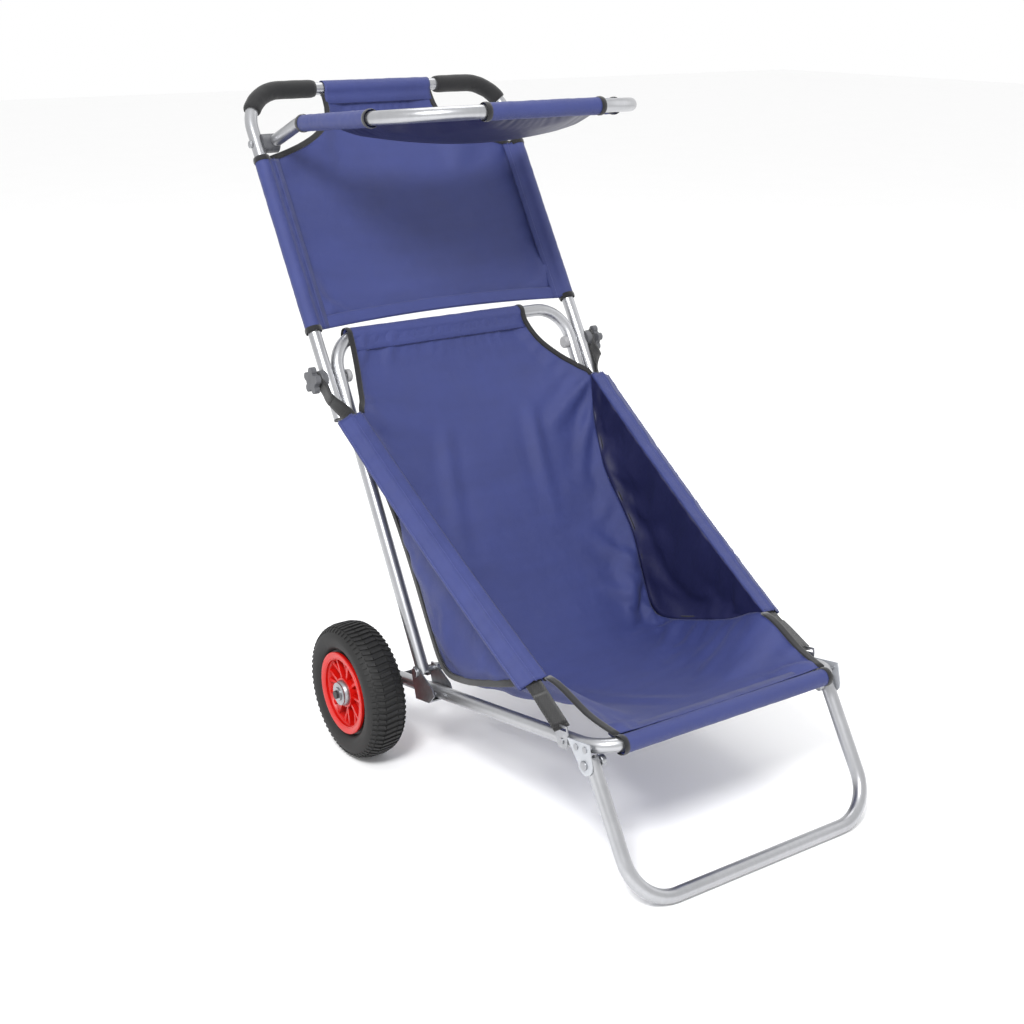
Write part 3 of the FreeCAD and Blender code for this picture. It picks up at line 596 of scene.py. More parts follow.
# cloth
def settle(piece, held, grow, frames=16, cap=0.012):
    # cloth cut a little larger than its space, so that it finds its own creases
    before = [vertex.co.copy() for vertex in piece.data.vertices]
    group = piece.vertex_groups.new(name="held")
    group.add(held, 1.0, "REPLACE")
    change = piece.modifiers.new("cloth", "CLOTH")
    cloth = change.settings
    cloth.vertex_group_mass = "held"
    cloth.quality = 5
    cloth.mass = 0.2
    cloth.tension_stiffness = 20
    cloth.compression_stiffness = 20
    cloth.shear_stiffness = 6
    cloth.bending_stiffness = 0.25
    cloth.air_damping = 4
    cloth.shrink_min = -grow
    cloth.shrink_max = -grow
    change.collision_settings.use_collision = False
    change.point_cache.frame_start = 1
    change.point_cache.frame_end = frames
    scene = bpy.context.scene
    for frameNumber in range(1, frames + 1):
        scene.frame_set(frameNumber)
    flatten(piece)
    scene.frame_set(1)
    pastCap = 0.15      # how much of a move beyond the cap is kept
    for vertex, start in zip(piece.data.vertices, before):
        move = vertex.co - start
        if move.length > cap:
            vertex.co = start + move.normalized() * (cap + (move.length - cap) * pastCap)
    return piece


def givenThickness(piece, thickness):
    change = piece.modifiers.new("cloth thickness", "SOLIDIFY")
    change.thickness = thickness
    change.offset = 0
    change.use_even_offset = False
    flatten(piece)
    piece.data.shade_smooth()
    return piece


def finishCloth(piece, thickness):
    finer = piece.modifiers.new("smoother", "SUBSURF")
    finer.levels = 1
    finer.render_levels = 1
    return givenThickness(piece, thickness)


def paintShadeFacing(piece, way):
    # the faces that look along a direction get a darker navy: painted shade on the cloth's inner
    # faces and underside
    piece.data.materials.append(finishes["paintedShade"])
    for face in piece.data.polygons:
        if face.normal.dot(way) > 0.05:
            face.material_index = 1


def edgeVertices(rows, across):
    held = set()
    for down in range(rows):
        held.update((down * across, down * across + across - 1))
    held.update(range(across))
    held.update(range((rows - 1) * across, rows * across))
    return sorted(held)


def mirrored(point):
    return Vector((-point.x, point.y, point.z))


def mm(x, y, z):
    return Vector((x, y, z)) / 1000


def sideOf(point, side):
    return point if side > 0 else mirrored(point)


# One cloth makes the seat and the back. Each station is its middle point in the side
# view and its right edge, from the top bar down and forward to the front bar.
slingCut = {
    "stations": [
        ((246, 583), (126, 246, 583)), ((232, 556), (128, 238, 565)),
        ((218, 530), (141, 221, 539)), ((204, 505), (166, 203, 515)),
        ((190, 481), (190, 185, 498)), ((178, 460), (205, 170, 485)),
        ((160, 430), (200, 158, 447)), ((136, 390), (193.5, 134, 390)),
        ((110, 347), (189, 107, 346)), ((66, 280), (191, 70, 300)),
        ((25, 222), (193, 39, 258)), ((-8, 185), (191, 12, 205)),
        ((-35, 163), (189, -10, 165)), ((-62, 149), (188, -30, 150)),
        ((-95, 141), (189, -62, 153)), ((-145, 137), (192, -112, 168)),
        ((-212, 148), (190, -190, 197)), ((-280, 166), (186, -262, 232)),
        ((-345, 185), (179, -340, 209)), ((-389, 199), (173, -389, 201))],
    "topLeft": [(179, 0), (179, 1), (183, 2), (189, 3), (196, 4)],
    "across": 55, "steps": 5, "grow": 0.035, "flat": (0.430, 1.020), "area": 0.385,
    "thickness": 0.0009,
    # soft folds: from, to, height in mm and half width in mm; the left side has its own
    "folds": [
        ((188, -40, 165), (95, -75, 150), 7, 11), ((190, -70, 160), (90, -135, 145), 6, 10),
        ((189, -25, 170), (105, 12, 214), 6, 11), ((192, 15, 215), (120, 58, 272), 5, 12),
        ((190, -120, 172), (70, -190, 146), 4, 12), ((188, -215, 210), (60, -255, 162), 4, 13),
        ((172, -380, 199), (70, -315, 176), 5, 12), ((176, -350, 206), (125, -270, 172), 5, 11),
        ((200, 172, 484), (110, 150, 415), 5, 14), ((202, 160, 450), (140, 95, 330), 4, 14),
        ((95, 180, 462), (80, 82, 305), 3.5, 13), ((40, -372, 194), (-95, -362, 190), 2.5, 9),
        ((-188, -35, 160), (-80, -95, 147), 7, 12), ((-189, -20, 175), (-110, 20, 222), 6, 12),
        ((-190, -90, 162), (-95, -165, 143), 5, 11), ((-191, -150, 182), (-75, -225, 154), 4, 13),
        ((-193, 25, 235), (-115, 70, 292), 5, 13), ((-172, -380, 199), (-60, -330, 180), 5, 12),
        ((-178, -345, 207), (-118, -285, 174), 5, 12), ((-202, 165, 470), (-120, 118, 362), 4, 14),
        ((-60, 170, 450), (-95, 60, 272), 3, 14), ((20, -300, 171), (-60, -120, 138), 2.5, 16)]}


def foldLift(point, folds):
    # how far the cloth stands up where soft folds cross a point
    lift = 0.0
    for start, end, high, wide in folds:
        first = mm(*start)
        run = mm(*end) - first
        along = min(max((point - first).dot(run) / run.length_squared, 0), 1)
        off = (point - first - run * along).length * 1000 / wide
        if off < 3:
            taper = min(along * 5, 1) * (1 - along) ** 0.7
            ridge = math.exp(-(off * 1.25) ** 2) - 0.4 * math.exp(-((off - 1.5) * 1.2) ** 2)
            lift += 2.1 * high / 1000 * taper * ridge
    return lift


def folded(rows, folds):
    # the rows moved out of their surface by the folds, with all four edges kept
    moved = [list(row) for row in rows]
    for down in range(1, len(rows) - 1):
        for side in range(1, len(rows[0]) - 1):
            along = rows[down + 1][side] - rows[down - 1][side]
            across = rows[down][side + 1] - rows[down][side - 1]
            up = across.cross(along).normalized()
            if up.z < 0:
                up = -up
            moved[down][side] = rows[down][side] + up * foldLift(rows[down][side], folds)
    return moved


def slingRows():
    middle = [mm(0, y, z) for (y, z), edge in slingCut["stations"]]
    right = [mm(*edge) for centre, edge in slingCut["stations"]]
    left = [mirrored(point) for point in right]
    for x, index in slingCut["topLeft"]:
        left[index].x = -x / 1000
    steps = slingCut["steps"]
    middle = smoothLine(middle, steps)
    right = smoothLine(right, steps)
    left = smoothLine(left, steps)
    across = slingCut["across"]
    rows = []
    for centre, rightEdge, leftEdge in zip(middle, right, left):
        row = []
        for column in range(across):
            u = 2 * column / (across - 1) - 1
            edge = rightEdge if u > 0 else leftEdge
            share = abs(u) ** 2.6
            point = centre.lerp(edge, share)
            point.x = edge.x * abs(u)
            row.append(point)
        rows.append(row)
    return rows, right, left


rows, seamRight, seamLeft = slingRows()
rows = folded(rows, slingCut["folds"])
sling = gridPiece("sling", rows, "cloth")
settle(sling, edgeVertices(len(rows), slingCut["across"]), slingCut["grow"], cap=0.010)
finishCloth(sling, slingCut["thickness"])
bendWithBack(sling, ("seat_sling", "back_sling"))
print("stage: sling made")

steps = slingCut["steps"]
shoulderAt = 5 * steps
cornerAt = 17 * steps
seamOf = {1: seamRight, -1: seamLeft}

# Each side has a strap tunnel over a lens-shaped panel. Corners are on the right.
sideCut = {
    "topInner": (205, 169.6, 484.7), "topOuter": (242.8, 173.3, 474.3),
    "endInner": (185.5, -262.6, 232.2), "endOuter": (224.2, -252.6, 219.2),
    "sag": 0.006, "bulge": 0.008, "ridge": 0.0075, "along": 53, "down": 17, "grow": 0.03,
    "flat": (0.500, 0.220), "area": 0.060, "thickness": 0.0009}


sleeveSteps = 85


def sleeveEdges(side, count):
    corners = {key: sideOf(mm(*sideCut[key]), side)
               for key in ("topInner", "topOuter", "endInner", "endOuter")}
    inner = []
    outer = []
    for step in range(count):
        t = step / (count - 1)
        sag = Vector((0, 0, -sideCut["sag"] * 4 * t * (1 - t)))
        inner.append(corners["topInner"].lerp(corners["endInner"], t) + sag)
        outer.append(corners["topOuter"].lerp(corners["endOuter"], t) + sag)
    return inner, outer


def sidePanel(side):
    count = sideCut["along"]
    down = sideCut["down"]
    seam = evenLine(seamOf[side][shoulderAt:cornerAt + 1], count)
    inner, outer = sleeveEdges(side, count)
    rows = []
    for index, (top, bottom) in enumerate(zip(inner, seam)):
        t = index / (count - 1)
        row = []
        for step in range(down):
            v = step / (down - 1)
            point = top.lerp(bottom, v)
            point.x += side * sideCut["bulge"] * math.sin(math.pi * v) * math.sin(math.pi * t)
            row.append(point)
        rows.append(row if side > 0 else list(reversed(row)))
    name = "side_panel_" + wordOf[side]
    piece = gridPiece(name + "_cloth", rows, "cloth")
    settle(piece, edgeVertices(count, down), sideCut["grow"], cap=0.009)
    finishCloth(piece, sideCut["thickness"])
    # painted shade: the panel's inner face gets the darker navy
    paintShadeFacing(piece, Vector((-side, 0, 0)))
    return bendWithBack(piece, (name,))


def strapSleeve(side):
    # a flattened tunnel with a raised fold along its middle
    count = sleeveSteps
    inner, outer = sleeveEdges(side, count)
    run = (inner[-1] - inner[0]).normalized()
    rows = []
    for index, (near, far) in enumerate(zip(inner, outer)):
        width = far - near
        up = width.cross(run) * side
        up.normalize()
        if up.z < 0:
            up = -up
        pucker = noise.noise(Vector((index * 0.21, side * 3.0, 0)))
        small = noise.noise(Vector((index * 0.9, side * 7.0, 5)))
        row = []
        for across, height in ((0, 0), (0.06, 0.5), (0.25, 0.62), (0.42, 0.85), (0.5, 1.15),
                               (0.58, 0.8), (0.78, 0.5), (0.95, 0.35), (1.0, 0), (0.9, -0.28),
                               (0.5, -0.45), (0.1, -0.28)):
            lift = height * sideCut["ridge"] * (1 + 0.35 * pucker) + 0.0007 * small
            row.append(near + width * (across + 0.015 * small) + up * lift)
        rows.append(row)
    piece = gridPiece("strap_sleeve_" + wordOf[side], rows, "cloth", closed=True)
    givenThickness(piece, 0.0008)
    bendWithBack(piece)
    return rows


def edgeTape(name, line, width, thickness, facing):
    path = evenLine(line, max(int(len(line) * 1.5), 12))
    piece = sweptPiece(name, path, "binding", stripOutline(width, thickness), facing)
    return bendWithBack(piece)


for side, word in wordOf.items():
    panel = sidePanel(side)
    sleeveRows = strapSleeve(side)
    outward = Vector((side, 0, 0))
    seam = seamOf[side]
    tapes = [
        edgeTape("seam_tape_" + word,
                 [point + outward * 0.0035 for point in seam[shoulderAt:cornerAt + 1]],
                 0.010, 0.0020, outward),
        edgeTape("shoulder_tape_" + word, seam[1:shoulderAt + 1], 0.009, 0.0030,
                 backFront),
        edgeTape("front_tape_" + word, seam[cornerAt:], 0.011, 0.0030, Vector((0, 0.2, 1)))]
    ridge = [row[3] for row in sleeveRows]
    low = [row[7] for row in sleeveRows]
    corner = sleeveRows[0][0]
    up = (sleeveRows[0][8] - corner).cross(sleeveRows[-1][0] - corner).normalized()
    if up.z < 0:
        up = -up
    for label, line in (("ridge", ridge), ("edge", low)):
        row = stitchLine("sleeve_stitches_" + label + "_" + word, line, up * 0.0006)
        bendWithBack(row)
    if side > 0:
        slingTrim = tapes[1:]
    else:
        slingTrim += tapes[1:]
print("stage: side panels and tunnels made")


hemCut = {"radius": 0.0112, "tail": 0.026, "slingTail": 0.027, "tapeRadius": 0.0122,
          "tapeWidth": 0.008}


def tunnelOutline(radius, tail, flat=0.0011, sides=22):
    # a tube's tunnel sewn shut beside it: round, with a flat tail on one side
    def outline(index):
        ring = []
        for step in range(sides):
            angle = math.radians(34 + 292 * step / (sides - 1))
            small = 0.0004 * noise.noise(Vector((index * 0.55, step * 0.3, tail * 100)))
            ring.append(((radius + small) * math.cos(angle), (radius + small) * math.sin(angle)))
        waver = 0.0006 * noise.noise(Vector((index * 0.35, 2.0, tail * 50)))
        ring.append((tail * 0.6, -flat - 0.0008 + waver))
        ring.append((tail, -flat + waver))
        ring.append((tail, flat + waver))
        ring.append((tail * 0.6, flat + 0.0008 + waver))
        return ring
    return outline


def tunnel(name, body, start, end, tailWay, tail=hemCut["tail"], count=60):
    path = [start.lerp(end, step / (count - 1)) for step in range(count)]
    run = (end - start).normalized()
    out = tailWay.cross(run).normalized()
    piece = sweptPiece(name, path, "cloth", tunnelOutline(hemCut["radius"], tail), out,
                       capped=False)
    givenThickness(piece, 0.0009)
    return place(piece, body)


def ringTape(name, body, centre, run):
    # the bound end of a tunnel
    radius = hemCut["tapeRadius"]
    path = [centre + run * hemCut["tapeWidth"] * share for share in (-0.5, -0.2, 0.2, 0.5)]
    outline = [[((radius + extra) * math.cos(2 * math.pi * k / 24),
                 (radius + extra) * math.sin(2 * math.pi * k / 24)) for k in range(24)]
               for extra in (0.0, 0.0007, 0.0007, 0.0)]
    side = Vector((0, 0, 1)) if abs(run.z) < 0.9 else Vector((0, 1, 0))
    piece = sweptPiece(name, path, "binding", lambda index: outline[index], side, capped=False)
    return place(piece, body)


xWay = Vector((1, 0, 0))
tunnelCut = {"frontHalf": 0.172, "topLeft": -0.179, "topRight": 0.126}
behindFront = (mm(0, -345, 186) - frontBar).normalized() + Vector((0, 0, 0.25))
belowTop = (mm(0, 226, 548) - topBar).normalized()
barHems = (
    ("front", "base_frame", frontBar, -tunnelCut["frontHalf"], tunnelCut["frontHalf"], behindFront),
    ("top", "back_frame", topBar, tunnelCut["topLeft"], tunnelCut["topRight"], belowTop))
for word, body, bar, low, high, tailWay in barHems:
    tunnel(word + "_bar_tunnel", body, bar + xWay * low, bar + xWay * high, tailWay,
           hemCut["slingTail"])
for word, body, bar, low, high, tailWay in barHems:
    ringTape(word + "_end_tape_left", body, bar + xWay * low, xWay)
    ringTape(word + "_end_tape_right", body, bar + xWay * high, xWay)

# straps
strapCut = {"width": 0.022, "thickness": 0.0018, "knobX": 244.2, "besideX": 238.2,
            "hook": (209.3, -325.4, 193.0), "foldLift": 0.0019}


def strapPath(side):
    knobEnd = sideOf(mm(strapCut["knobX"], pivot.y * 1000, pivot.z * 1000), side)
    inner, outer = sleeveEdges(side, sleeveSteps)
    middle = [(a + b) / 2 for a, b in zip(inner, outer)]
    towards = (middle[0] - knobEnd).normalized()
    beside = knobEnd + towards * 0.040
    beside.x = side * strapCut["besideX"] / 1000
    hook = sideOf(mm(*strapCut["hook"]), side)
    points = [knobEnd - towards * 0.013, knobEnd, knobEnd + towards * 0.018, beside,
              middle[0], middle[14], middle[42], middle[70], middle[-1],
              middle[-1].lerp(hook, 0.5), hook]
    return evenLine(smoothLine(points, 12), 150), (outer[0] - inner[0]).normalized()


def strap(side):
    path, across = strapPath(side)
    word = wordOf[side]
    run = (path[-1] - path[0]).normalized()
    flatUp = across.cross(run)
    if flatUp.z < 0:
        flatUp = -flatUp
    sideways = Vector((side, 0, 0))

    def facing(index):
        share = min(max((index - 8) / 22, 0), 1)
        share = share * share * (3 - 2 * share)
        return sideways.lerp(flatUp, share).normalized()

    piece = sweptPiece("strap_" + word + "_webbing", path, "webbing",
                       stripOutline(strapCut["width"], strapCut["thickness"]), facing)
    bendWithBack(piece, ("strap_" + word,))
    # the end folds back on itself at the hook and at the knob
    for label, part, way in (("hook", path[-14:-1], flatUp), ("knob", path[1:13], sideways)):
        fold = sweptPiece("strap_fold_" + label + "_" + word,
                          [point + way * strapCut["foldLift"] for point in part], "webbing",
                          stripOutline(strapCut["width"] - 0.001, strapCut["thickness"]), way)
        bendWithBack(fold)


for side in wordOf:
    strap(side)
print("stage: straps made")

# upper back cloth on the handle tube
upperCut = {"bottom": 0.075, "top": 0.345, "neckHalf": 0.094, "sag": 0.016, "bow": 0.009,
            "rows": 45, "across": 41, "grow": 0.028, "flat": (0.480, 0.480), "area": 0.155,
            "thickness": 0.0009, "stitchIn": 0.019, "stitchRun": 0.27}


def onHandle(x, along, out=0.0):
    point = pivot + handleRun * along + handleFront * out
    return Vector((x, point.y, point.z))


def neckHalf(along):
    # half the cloth's width at a height: straight sides, concave shoulders, straight neck
    wide = handleHalf - tubeR
    if along <= upperCut["top"]:
        return wide
    share = (along - upperCut["top"]) / (handleLength - tubeR - upperCut["top"])
    share = min(share, 1)
    drop = 1 - (1 - share) ** 3.2
    return wide + (upperCut["neckHalf"] - wide) * drop


def upperRows():
    top = handleLength - tubeR
    rows = []
    for down in range(upperCut["rows"]):
        v = down / (upperCut["rows"] - 1)
        row = []
        for column in range(upperCut["across"]):
            u = 2 * column / (upperCut["across"] - 1) - 1
            bottom = upperCut["bottom"] + upperCut["bow"] * (1 - u * u)
            along = bottom + (top - bottom) * v
            half = neckHalf(along)
            slack = max(math.sin(math.pi * min(v * 1.05, 1)), 0)
            sag = upperCut["sag"] * (1 - u * u) * slack ** 0.7
            row.append(onHandle(half * u, along, -sag))
        rows.append(row)
    return rows


rows = upperRows()
upperCloth = gridPiece("upper_back_cloth", rows, "cloth")
settle(upperCloth, edgeVertices(upperCut["rows"], upperCut["across"]), upperCut["grow"],
       cap=0.008)
finishCloth(upperCloth, upperCut["thickness"])
place(upperCloth, "handle_frame", ("back_panel",))


def ridingTape(name, line, width, thickness, facing, body):
    path = evenLine(line, max(len(line), 16))
    return place(sweptPiece(name, path, "binding", stripOutline(width, thickness), facing),
                 body)


edgeColumns = ((1, "right", -1), (-1, "left", 0))   # a side's last or first column
hemLine = evenLine(rows[1], 60)
upperHem = sweptPiece("upper_hem", hemLine, "cloth", stripOutline(0.020, 0.0028), handleFront)
upperTrim = [place(upperHem, "handle_frame")]
for side, word, column in edgeColumns:
    low = onHandle(side * handleHalf, upperCut["bottom"])
    high = onHandle(side * handleHalf, upperCut["top"])
    tunnel("upper_tunnel_" + word, "handle_frame", low, high, Vector((-side, 0, 0)))
    shoulder = [row[column] for row in rows
                if (row[column] - pivot).dot(handleRun) > upperCut["top"]]
    upperTrim.append(ridingTape("neck_tape_" + word, shoulder, 0.009, 0.003, handleFront,
                                "handle_frame"))
    ringTape("upper_end_tape_top_" + word, "handle_frame", high, handleRun)
    ringTape("upper_end_tape_low_" + word, "handle_frame", low, handleRun)
tunnel("neck_tunnel", "handle_frame", handleBar - xWay * upperCut["neckHalf"],
       handleBar + xWay * upperCut["neckHalf"], -handleRun, count=40)
for side, word in wordOf.items():
    line = [onHandle(side * (handleHalf - upperCut["stitchIn"]),
                     upperCut["bottom"] + upperCut["stitchRun"] * step / 40, 0.0022)
            for step in range(41)]
    place(stitchLine("upper_stitches_" + word, line, Vector((0, 0, 0))), "handle_frame")
print("stage: upper back cloth made")

# canopy
canopyKnee = canopyPivot + Vector((0, -0.090, 0.0345))
canopyFront = canopyPivot + Vector((0, -0.409, 0.066))
armRun = (canopyFront - canopyKnee).normalized()
armLength = (canopyFront - canopyKnee).length
canopyUp = Vector((0, -armRun.z, armRun.y))
if canopyUp.z < 0:
    canopyUp = -canopyUp
canopyCut = {"rear": 0.014, "corner": 0.110, "sag": 0.030, "bow": 0.016, "rows": 41, "across": 41,
             "grow": 0.028, "flat": (0.400, 0.350), "area": 0.128, "thickness": 0.0009}


def onCanopy(x, along, up=0.0):
    point = canopyKnee + armRun * along + canopyUp * up
    return Vector((x, point.y, point.z))


def canopyRows():
    frontBarAt = armLength - tubeR
    armEnd = armLength - canopyCut["corner"]
    wide = canopyHalf - tubeR
    barHalf = canopyHalf - canopyCut["corner"]
    rows = []
    for down in range(canopyCut["rows"]):
        v = down / (canopyCut["rows"] - 1)
        row = []
        for column in range(canopyCut["across"]):
            u = 2 * column / (canopyCut["across"] - 1) - 1
            rear = canopyCut["rear"] + canopyCut["bow"] * (1 - u * u)
            along = rear + (frontBarAt - rear) * v
            past = min(max((along - armEnd) / (frontBarAt - armEnd), 0), 1)
            half = wide + (barHalf - wide) * (1 - (1 - past) ** 1.7)
            slack = max(math.sin(math.pi * (0.12 + 0.88 * v)), 0)
            sag = canopyCut["sag"] * (1 - u * u) ** 0.9 * slack ** 0.8
            row.append(onCanopy(half * u, along, -sag))
        rows.append(row)
    return rows, armEnd, barHalf


rows, armEnd, barHalf = canopyRows()
canopyCloth = gridPiece("sun_cloth", rows, "cloth")
settle(canopyCloth, edgeVertices(canopyCut["rows"], canopyCut["across"]), canopyCut["grow"],
       cap=0.010)
finishCloth(canopyCloth, canopyCut["thickness"])
# painted shade: the canopy's underside gets the darker navy
paintShadeFacing(canopyCloth, -canopyUp)
place(canopyCloth, "canopy", ("canopy_cloth",))
canopyTrim = [ridingTape("canopy_rear_tape", rows[0], 0.012, 0.003, canopyUp, "canopy")]
for side, word, column in edgeColumns:
    rearEnd = onCanopy(side * canopyHalf, canopyCut["rear"])
    frontEnd = onCanopy(side * canopyHalf, armEnd)
    tunnel("canopy_tunnel_" + word, "canopy", rearEnd, frontEnd, Vector((-side, 0, 0)))
    corner = [row[column] for row in rows
              if (row[column] - canopyKnee).dot(armRun) > armEnd - 0.004]
    canopyTrim.append(ridingTape("canopy_corner_tape_" + word, corner, 0.010, 0.003, canopyUp,
                                 "canopy"))
    ringTape("canopy_end_tape_rear_" + word, "canopy", rearEnd, armRun)
    ringTape("canopy_end_tape_front_" + word, "canopy", frontEnd, armRun)
    ringTape("canopy_bar_tape_" + word, "canopy", onCanopy(side * barHalf, armLength), xWay)
tunnel("canopy_front_tunnel", "canopy", onCanopy(-barHalf, armLength),
       onCanopy(barHalf, armLength), -armRun, count=40)
print("stage: canopy cloth made")

# foam grips
gripCut = {"radius": 0.0134, "inner": 0.108, "bendRadius": 0.062, "turn": 62}


def gripPath(side):
    # along the top bar, then round the bend to the outside tube
    turn = gripCut["bendRadius"]
    straightEnd = handleHalf - turn
    points = []
    for step in range(12):
        x = gripCut["inner"] + (straightEnd - gripCut["inner"]) * step / 12
        points.append(Vector((side * x, handleBar.y, handleBar.z)))
    centre = Vector((side * straightEnd, 0, 0))
    for step in range(25):
        angle = math.radians(gripCut["turn"]) * step / 24
        across = straightEnd + turn * math.sin(angle)
        down = turn * (1 - math.cos(angle))
        spot = handleBar - handleRun * down
        points.append(Vector((side * across, spot.y, spot.z)))
    return points


def grip(side):
    path = gripPath(side)
    count = len(path)

    def outline(index):
        near = min(index, count - 1 - index)
        edge = 1 - 0.10 * math.exp(-near * 1.4)
        ring = []
        for k in range(28):
            angle = 2 * math.pi * k / 28
            spot = (math.cos(angle), math.sin(angle))
            lump = 0.0004 * noise.noise(Vector((index * 0.3, *spot)))
            radius = gripCut["radius"] * edge + lump
            ring.append((radius * spot[0], radius * spot[1]))
        return ring

    word = wordOf[side]
    piece = sweptPiece("foam_grip_" + word, path, "foam", outline, handleFront)
    place(piece, "handle_frame", ("grip_" + word,))


for side in wordOf:
    grip(side)
print("stage: grips made")

# wheels
tyreCut = {"radius": 0.1, "width": 0.061, "rimRadius": 0.060, "tread": 0.0024, "pitches": 66,
           "stepsRound": 144, "stepsAcross": 48, "squareX": 0.75, "squareR": 0.85}
tyreCrown = (tyreCut["radius"] - tyreCut["tread"] + tyreCut["rimRadius"]) / 2


def tyreSection(angle):
    # the full, squarish section as (x, radius) at an angle round it
    high = tyreCrown - tyreCut["rimRadius"]
    wide = tyreCut["width"] / 2 - 0.0006
    x = math.copysign(abs(math.cos(angle)) ** tyreCut["squareX"], math.cos(angle)) * wide
    up = math.copysign(abs(math.sin(angle)) ** tyreCut["squareR"], math.sin(angle))
    return x, tyreCrown + up * high


def carcassTree():
    # a grid wrapped into a ring: one way round its section, the other round the axle
    make, given = newTree("tyre body", {
        "Half width": ("Float", 0.03), "Crown": ("Float", 0.08), "Half height": ("Float", 0.02),
        "Sidewall line": ("Float", 0.0007), "Centre": ("Vector", (0, 0, 0))})
    grid = make.node("GeometryNodeMeshGrid", None, {
        "Size X": 1.0, "Size Y": 1.0, "Vertices X": tyreCut["stepsAcross"] + 1,
        "Vertices Y": tyreCut["stepsRound"] + 1})
    gridX, gridY = make.split(make.node("GeometryNodeInputPosition"))
    section = gridX * (2 * math.pi)
    around = gridY * (2 * math.pi)
    cosine = section.maths("COSINE", section)
    sine = section.sine()
    x = (cosine.size() ** tyreCut["squareX"]) * cosine.maths("SIGN", cosine)
    x = x * given["Half width"]
    up = (sine.size() ** tyreCut["squareR"]) * sine.maths("SIGN", sine)
    # a fine raised line on each sidewall
    nearLine = (up - 0.12).size() * 9.0
    line = (1.0 - nearLine).maths("MAXIMUM", 1.0 - nearLine, 0.0) * given["Sidewall line"]
    x = x + line * cosine.maths("SIGN", cosine)
    radius = given["Crown"] + up * given["Half height"]
    out = make.node("ShaderNodeCombineXYZ", None, {
        "X": x, "Y": radius * around.sine(), "Z": radius * around.maths("COSINE", around)})
    placed = make.node("ShaderNodeVectorMath", {"operation": "ADD"},
                       {0: out, 1: given["Centre"]})
    wrapped = make.node("GeometryNodeSetPosition", None, {"Geometry": grid, "Position": placed})
    closed = make.node("GeometryNodeMergeByDistance", None, {"Geometry": wrapped, "Distance": 1e-5})
    soft = make.node("GeometryNodeSetShadeSmooth", None, {"Geometry": closed})
    return endTree(make, soft, "tyre")


def treadUnit(name):
    # one pitch of the tread: a zigzag bar over the crown and a block on each shoulder
    pitch = 2 * math.pi / tyreCut["pitches"]
    shape = bmesh.new()

    def spot(x, turn, lift):
        # x is how far round the section from the crown, as an angle
        sx, sr = tyreSection(math.pi / 2 - x)
        radius = sr + lift * max(math.cos(x * 0.8), 0.35)
        return (sx + lift * math.sin(x) * 0.5, -radius * math.sin(turn), radius * math.cos(turn))

    def block(outline, lift):
        low = [shape.verts.new(spot(x, turn * pitch, -0.0008)) for x, turn in outline]
        middle = [sum(values) / len(outline) for values in zip(*outline)]
        high = [shape.verts.new(spot(middle[0] + (x - middle[0]) * 0.93,
                                     (middle[1] + (turn - middle[1]) * 0.9) * pitch, lift))
                for x, turn in outline]
        shape.faces.new(high)
        for k in range(len(outline)):
            after = (k + 1) % len(outline)
            shape.faces.new((low[k], low[after], high[after], high[k]))

    lift = tyreCut["tread"] - 0.0002
    for first, second, start, end in ((-0.62, -0.2, 0.0, 0.34), (-0.2, 0.22, 0.34, 0.0),
                                      (0.22, 0.62, 0.0, 0.34)):
        block([(first, start), (second, end), (second, end + 0.52), (first, start + 0.52)], lift)
    for side in (-1, 1):
        block([(side * 0.70, 0.10), (side * 1.02, 0.16), (side * 1.02, 0.62), (side * 0.70, 0.70)],
              lift * 0.9)
    return shapePiece(name, shape)


carcass = carcassTree()
treadRing = ringTree("tyre")
for side, word in wordOf.items():
    body = "wheel_" + word
    centre = (side * wheelX, axleAt.y, axleAt.z)
    seed = meshPiece("tyre_body_" + word, [(0, 0, 0)], [], "tyre")
    grown(seed, carcass, {"Half width": tyreCut["width"] / 2 - 0.0008, "Crown": tyreCrown,
                          "Half height": tyreCrown - tyreCut["rimRadius"],
                          "Sidewall line": 0.0006, "Centre": centre}, "tyre")
    place(seed, body, ("tyre_" + word,))
    tread = treadUnit("tyre_tread_" + word)
    grown(tread, treadRing, {"Count": tyreCut["pitches"], "Centre": centre}, "tyre")
    place(tread, body)
print("stage: tyres made")

rimCut = {"spokes": 9, "ring": 0.0605, "outer": 0.0512, "inner": 0.0225, "turn": 10}


def ribUnit(name, side):
    # one moulded rib of the wheel centre, wider where it meets the ring and the boss
    shape = bmesh.new()
    first = math.radians(rimCut["turn"])
    rows = []
    for step in range(7):
        t = step / 6
        radius = rimCut["inner"] + (rimCut["outer"] - rimCut["inner"]) * t
        half = 0.0021 + 0.0026 * (2 * t - 1) ** 4
        face = 0.0150 + 0.0052 * t ** 1.5
        ring = []
        for across, x in ((-half - 0.0006, 0.002), (-half, face - 0.0008), (-half * 0.5, face),
                          (half * 0.5, face), (half, face - 0.0008), (half + 0.0006, 0.002)):
            y = across * math.cos(first) + radius * math.sin(first)
            z = radius * math.cos(first) - across * math.sin(first)
            ring.append(shape.verts.new((side * x, y, z)))
        rows.append(ring)
    for low, high in zip(rows, rows[1:]):
        for k in range(6):
            after = (k + 1) % 6
            shape.faces.new((low[k], low[after], high[after], high[k]))
    shape.faces.new(rows[0])
    shape.faces.new(rows[-1])
    return shapePiece(name, shape)


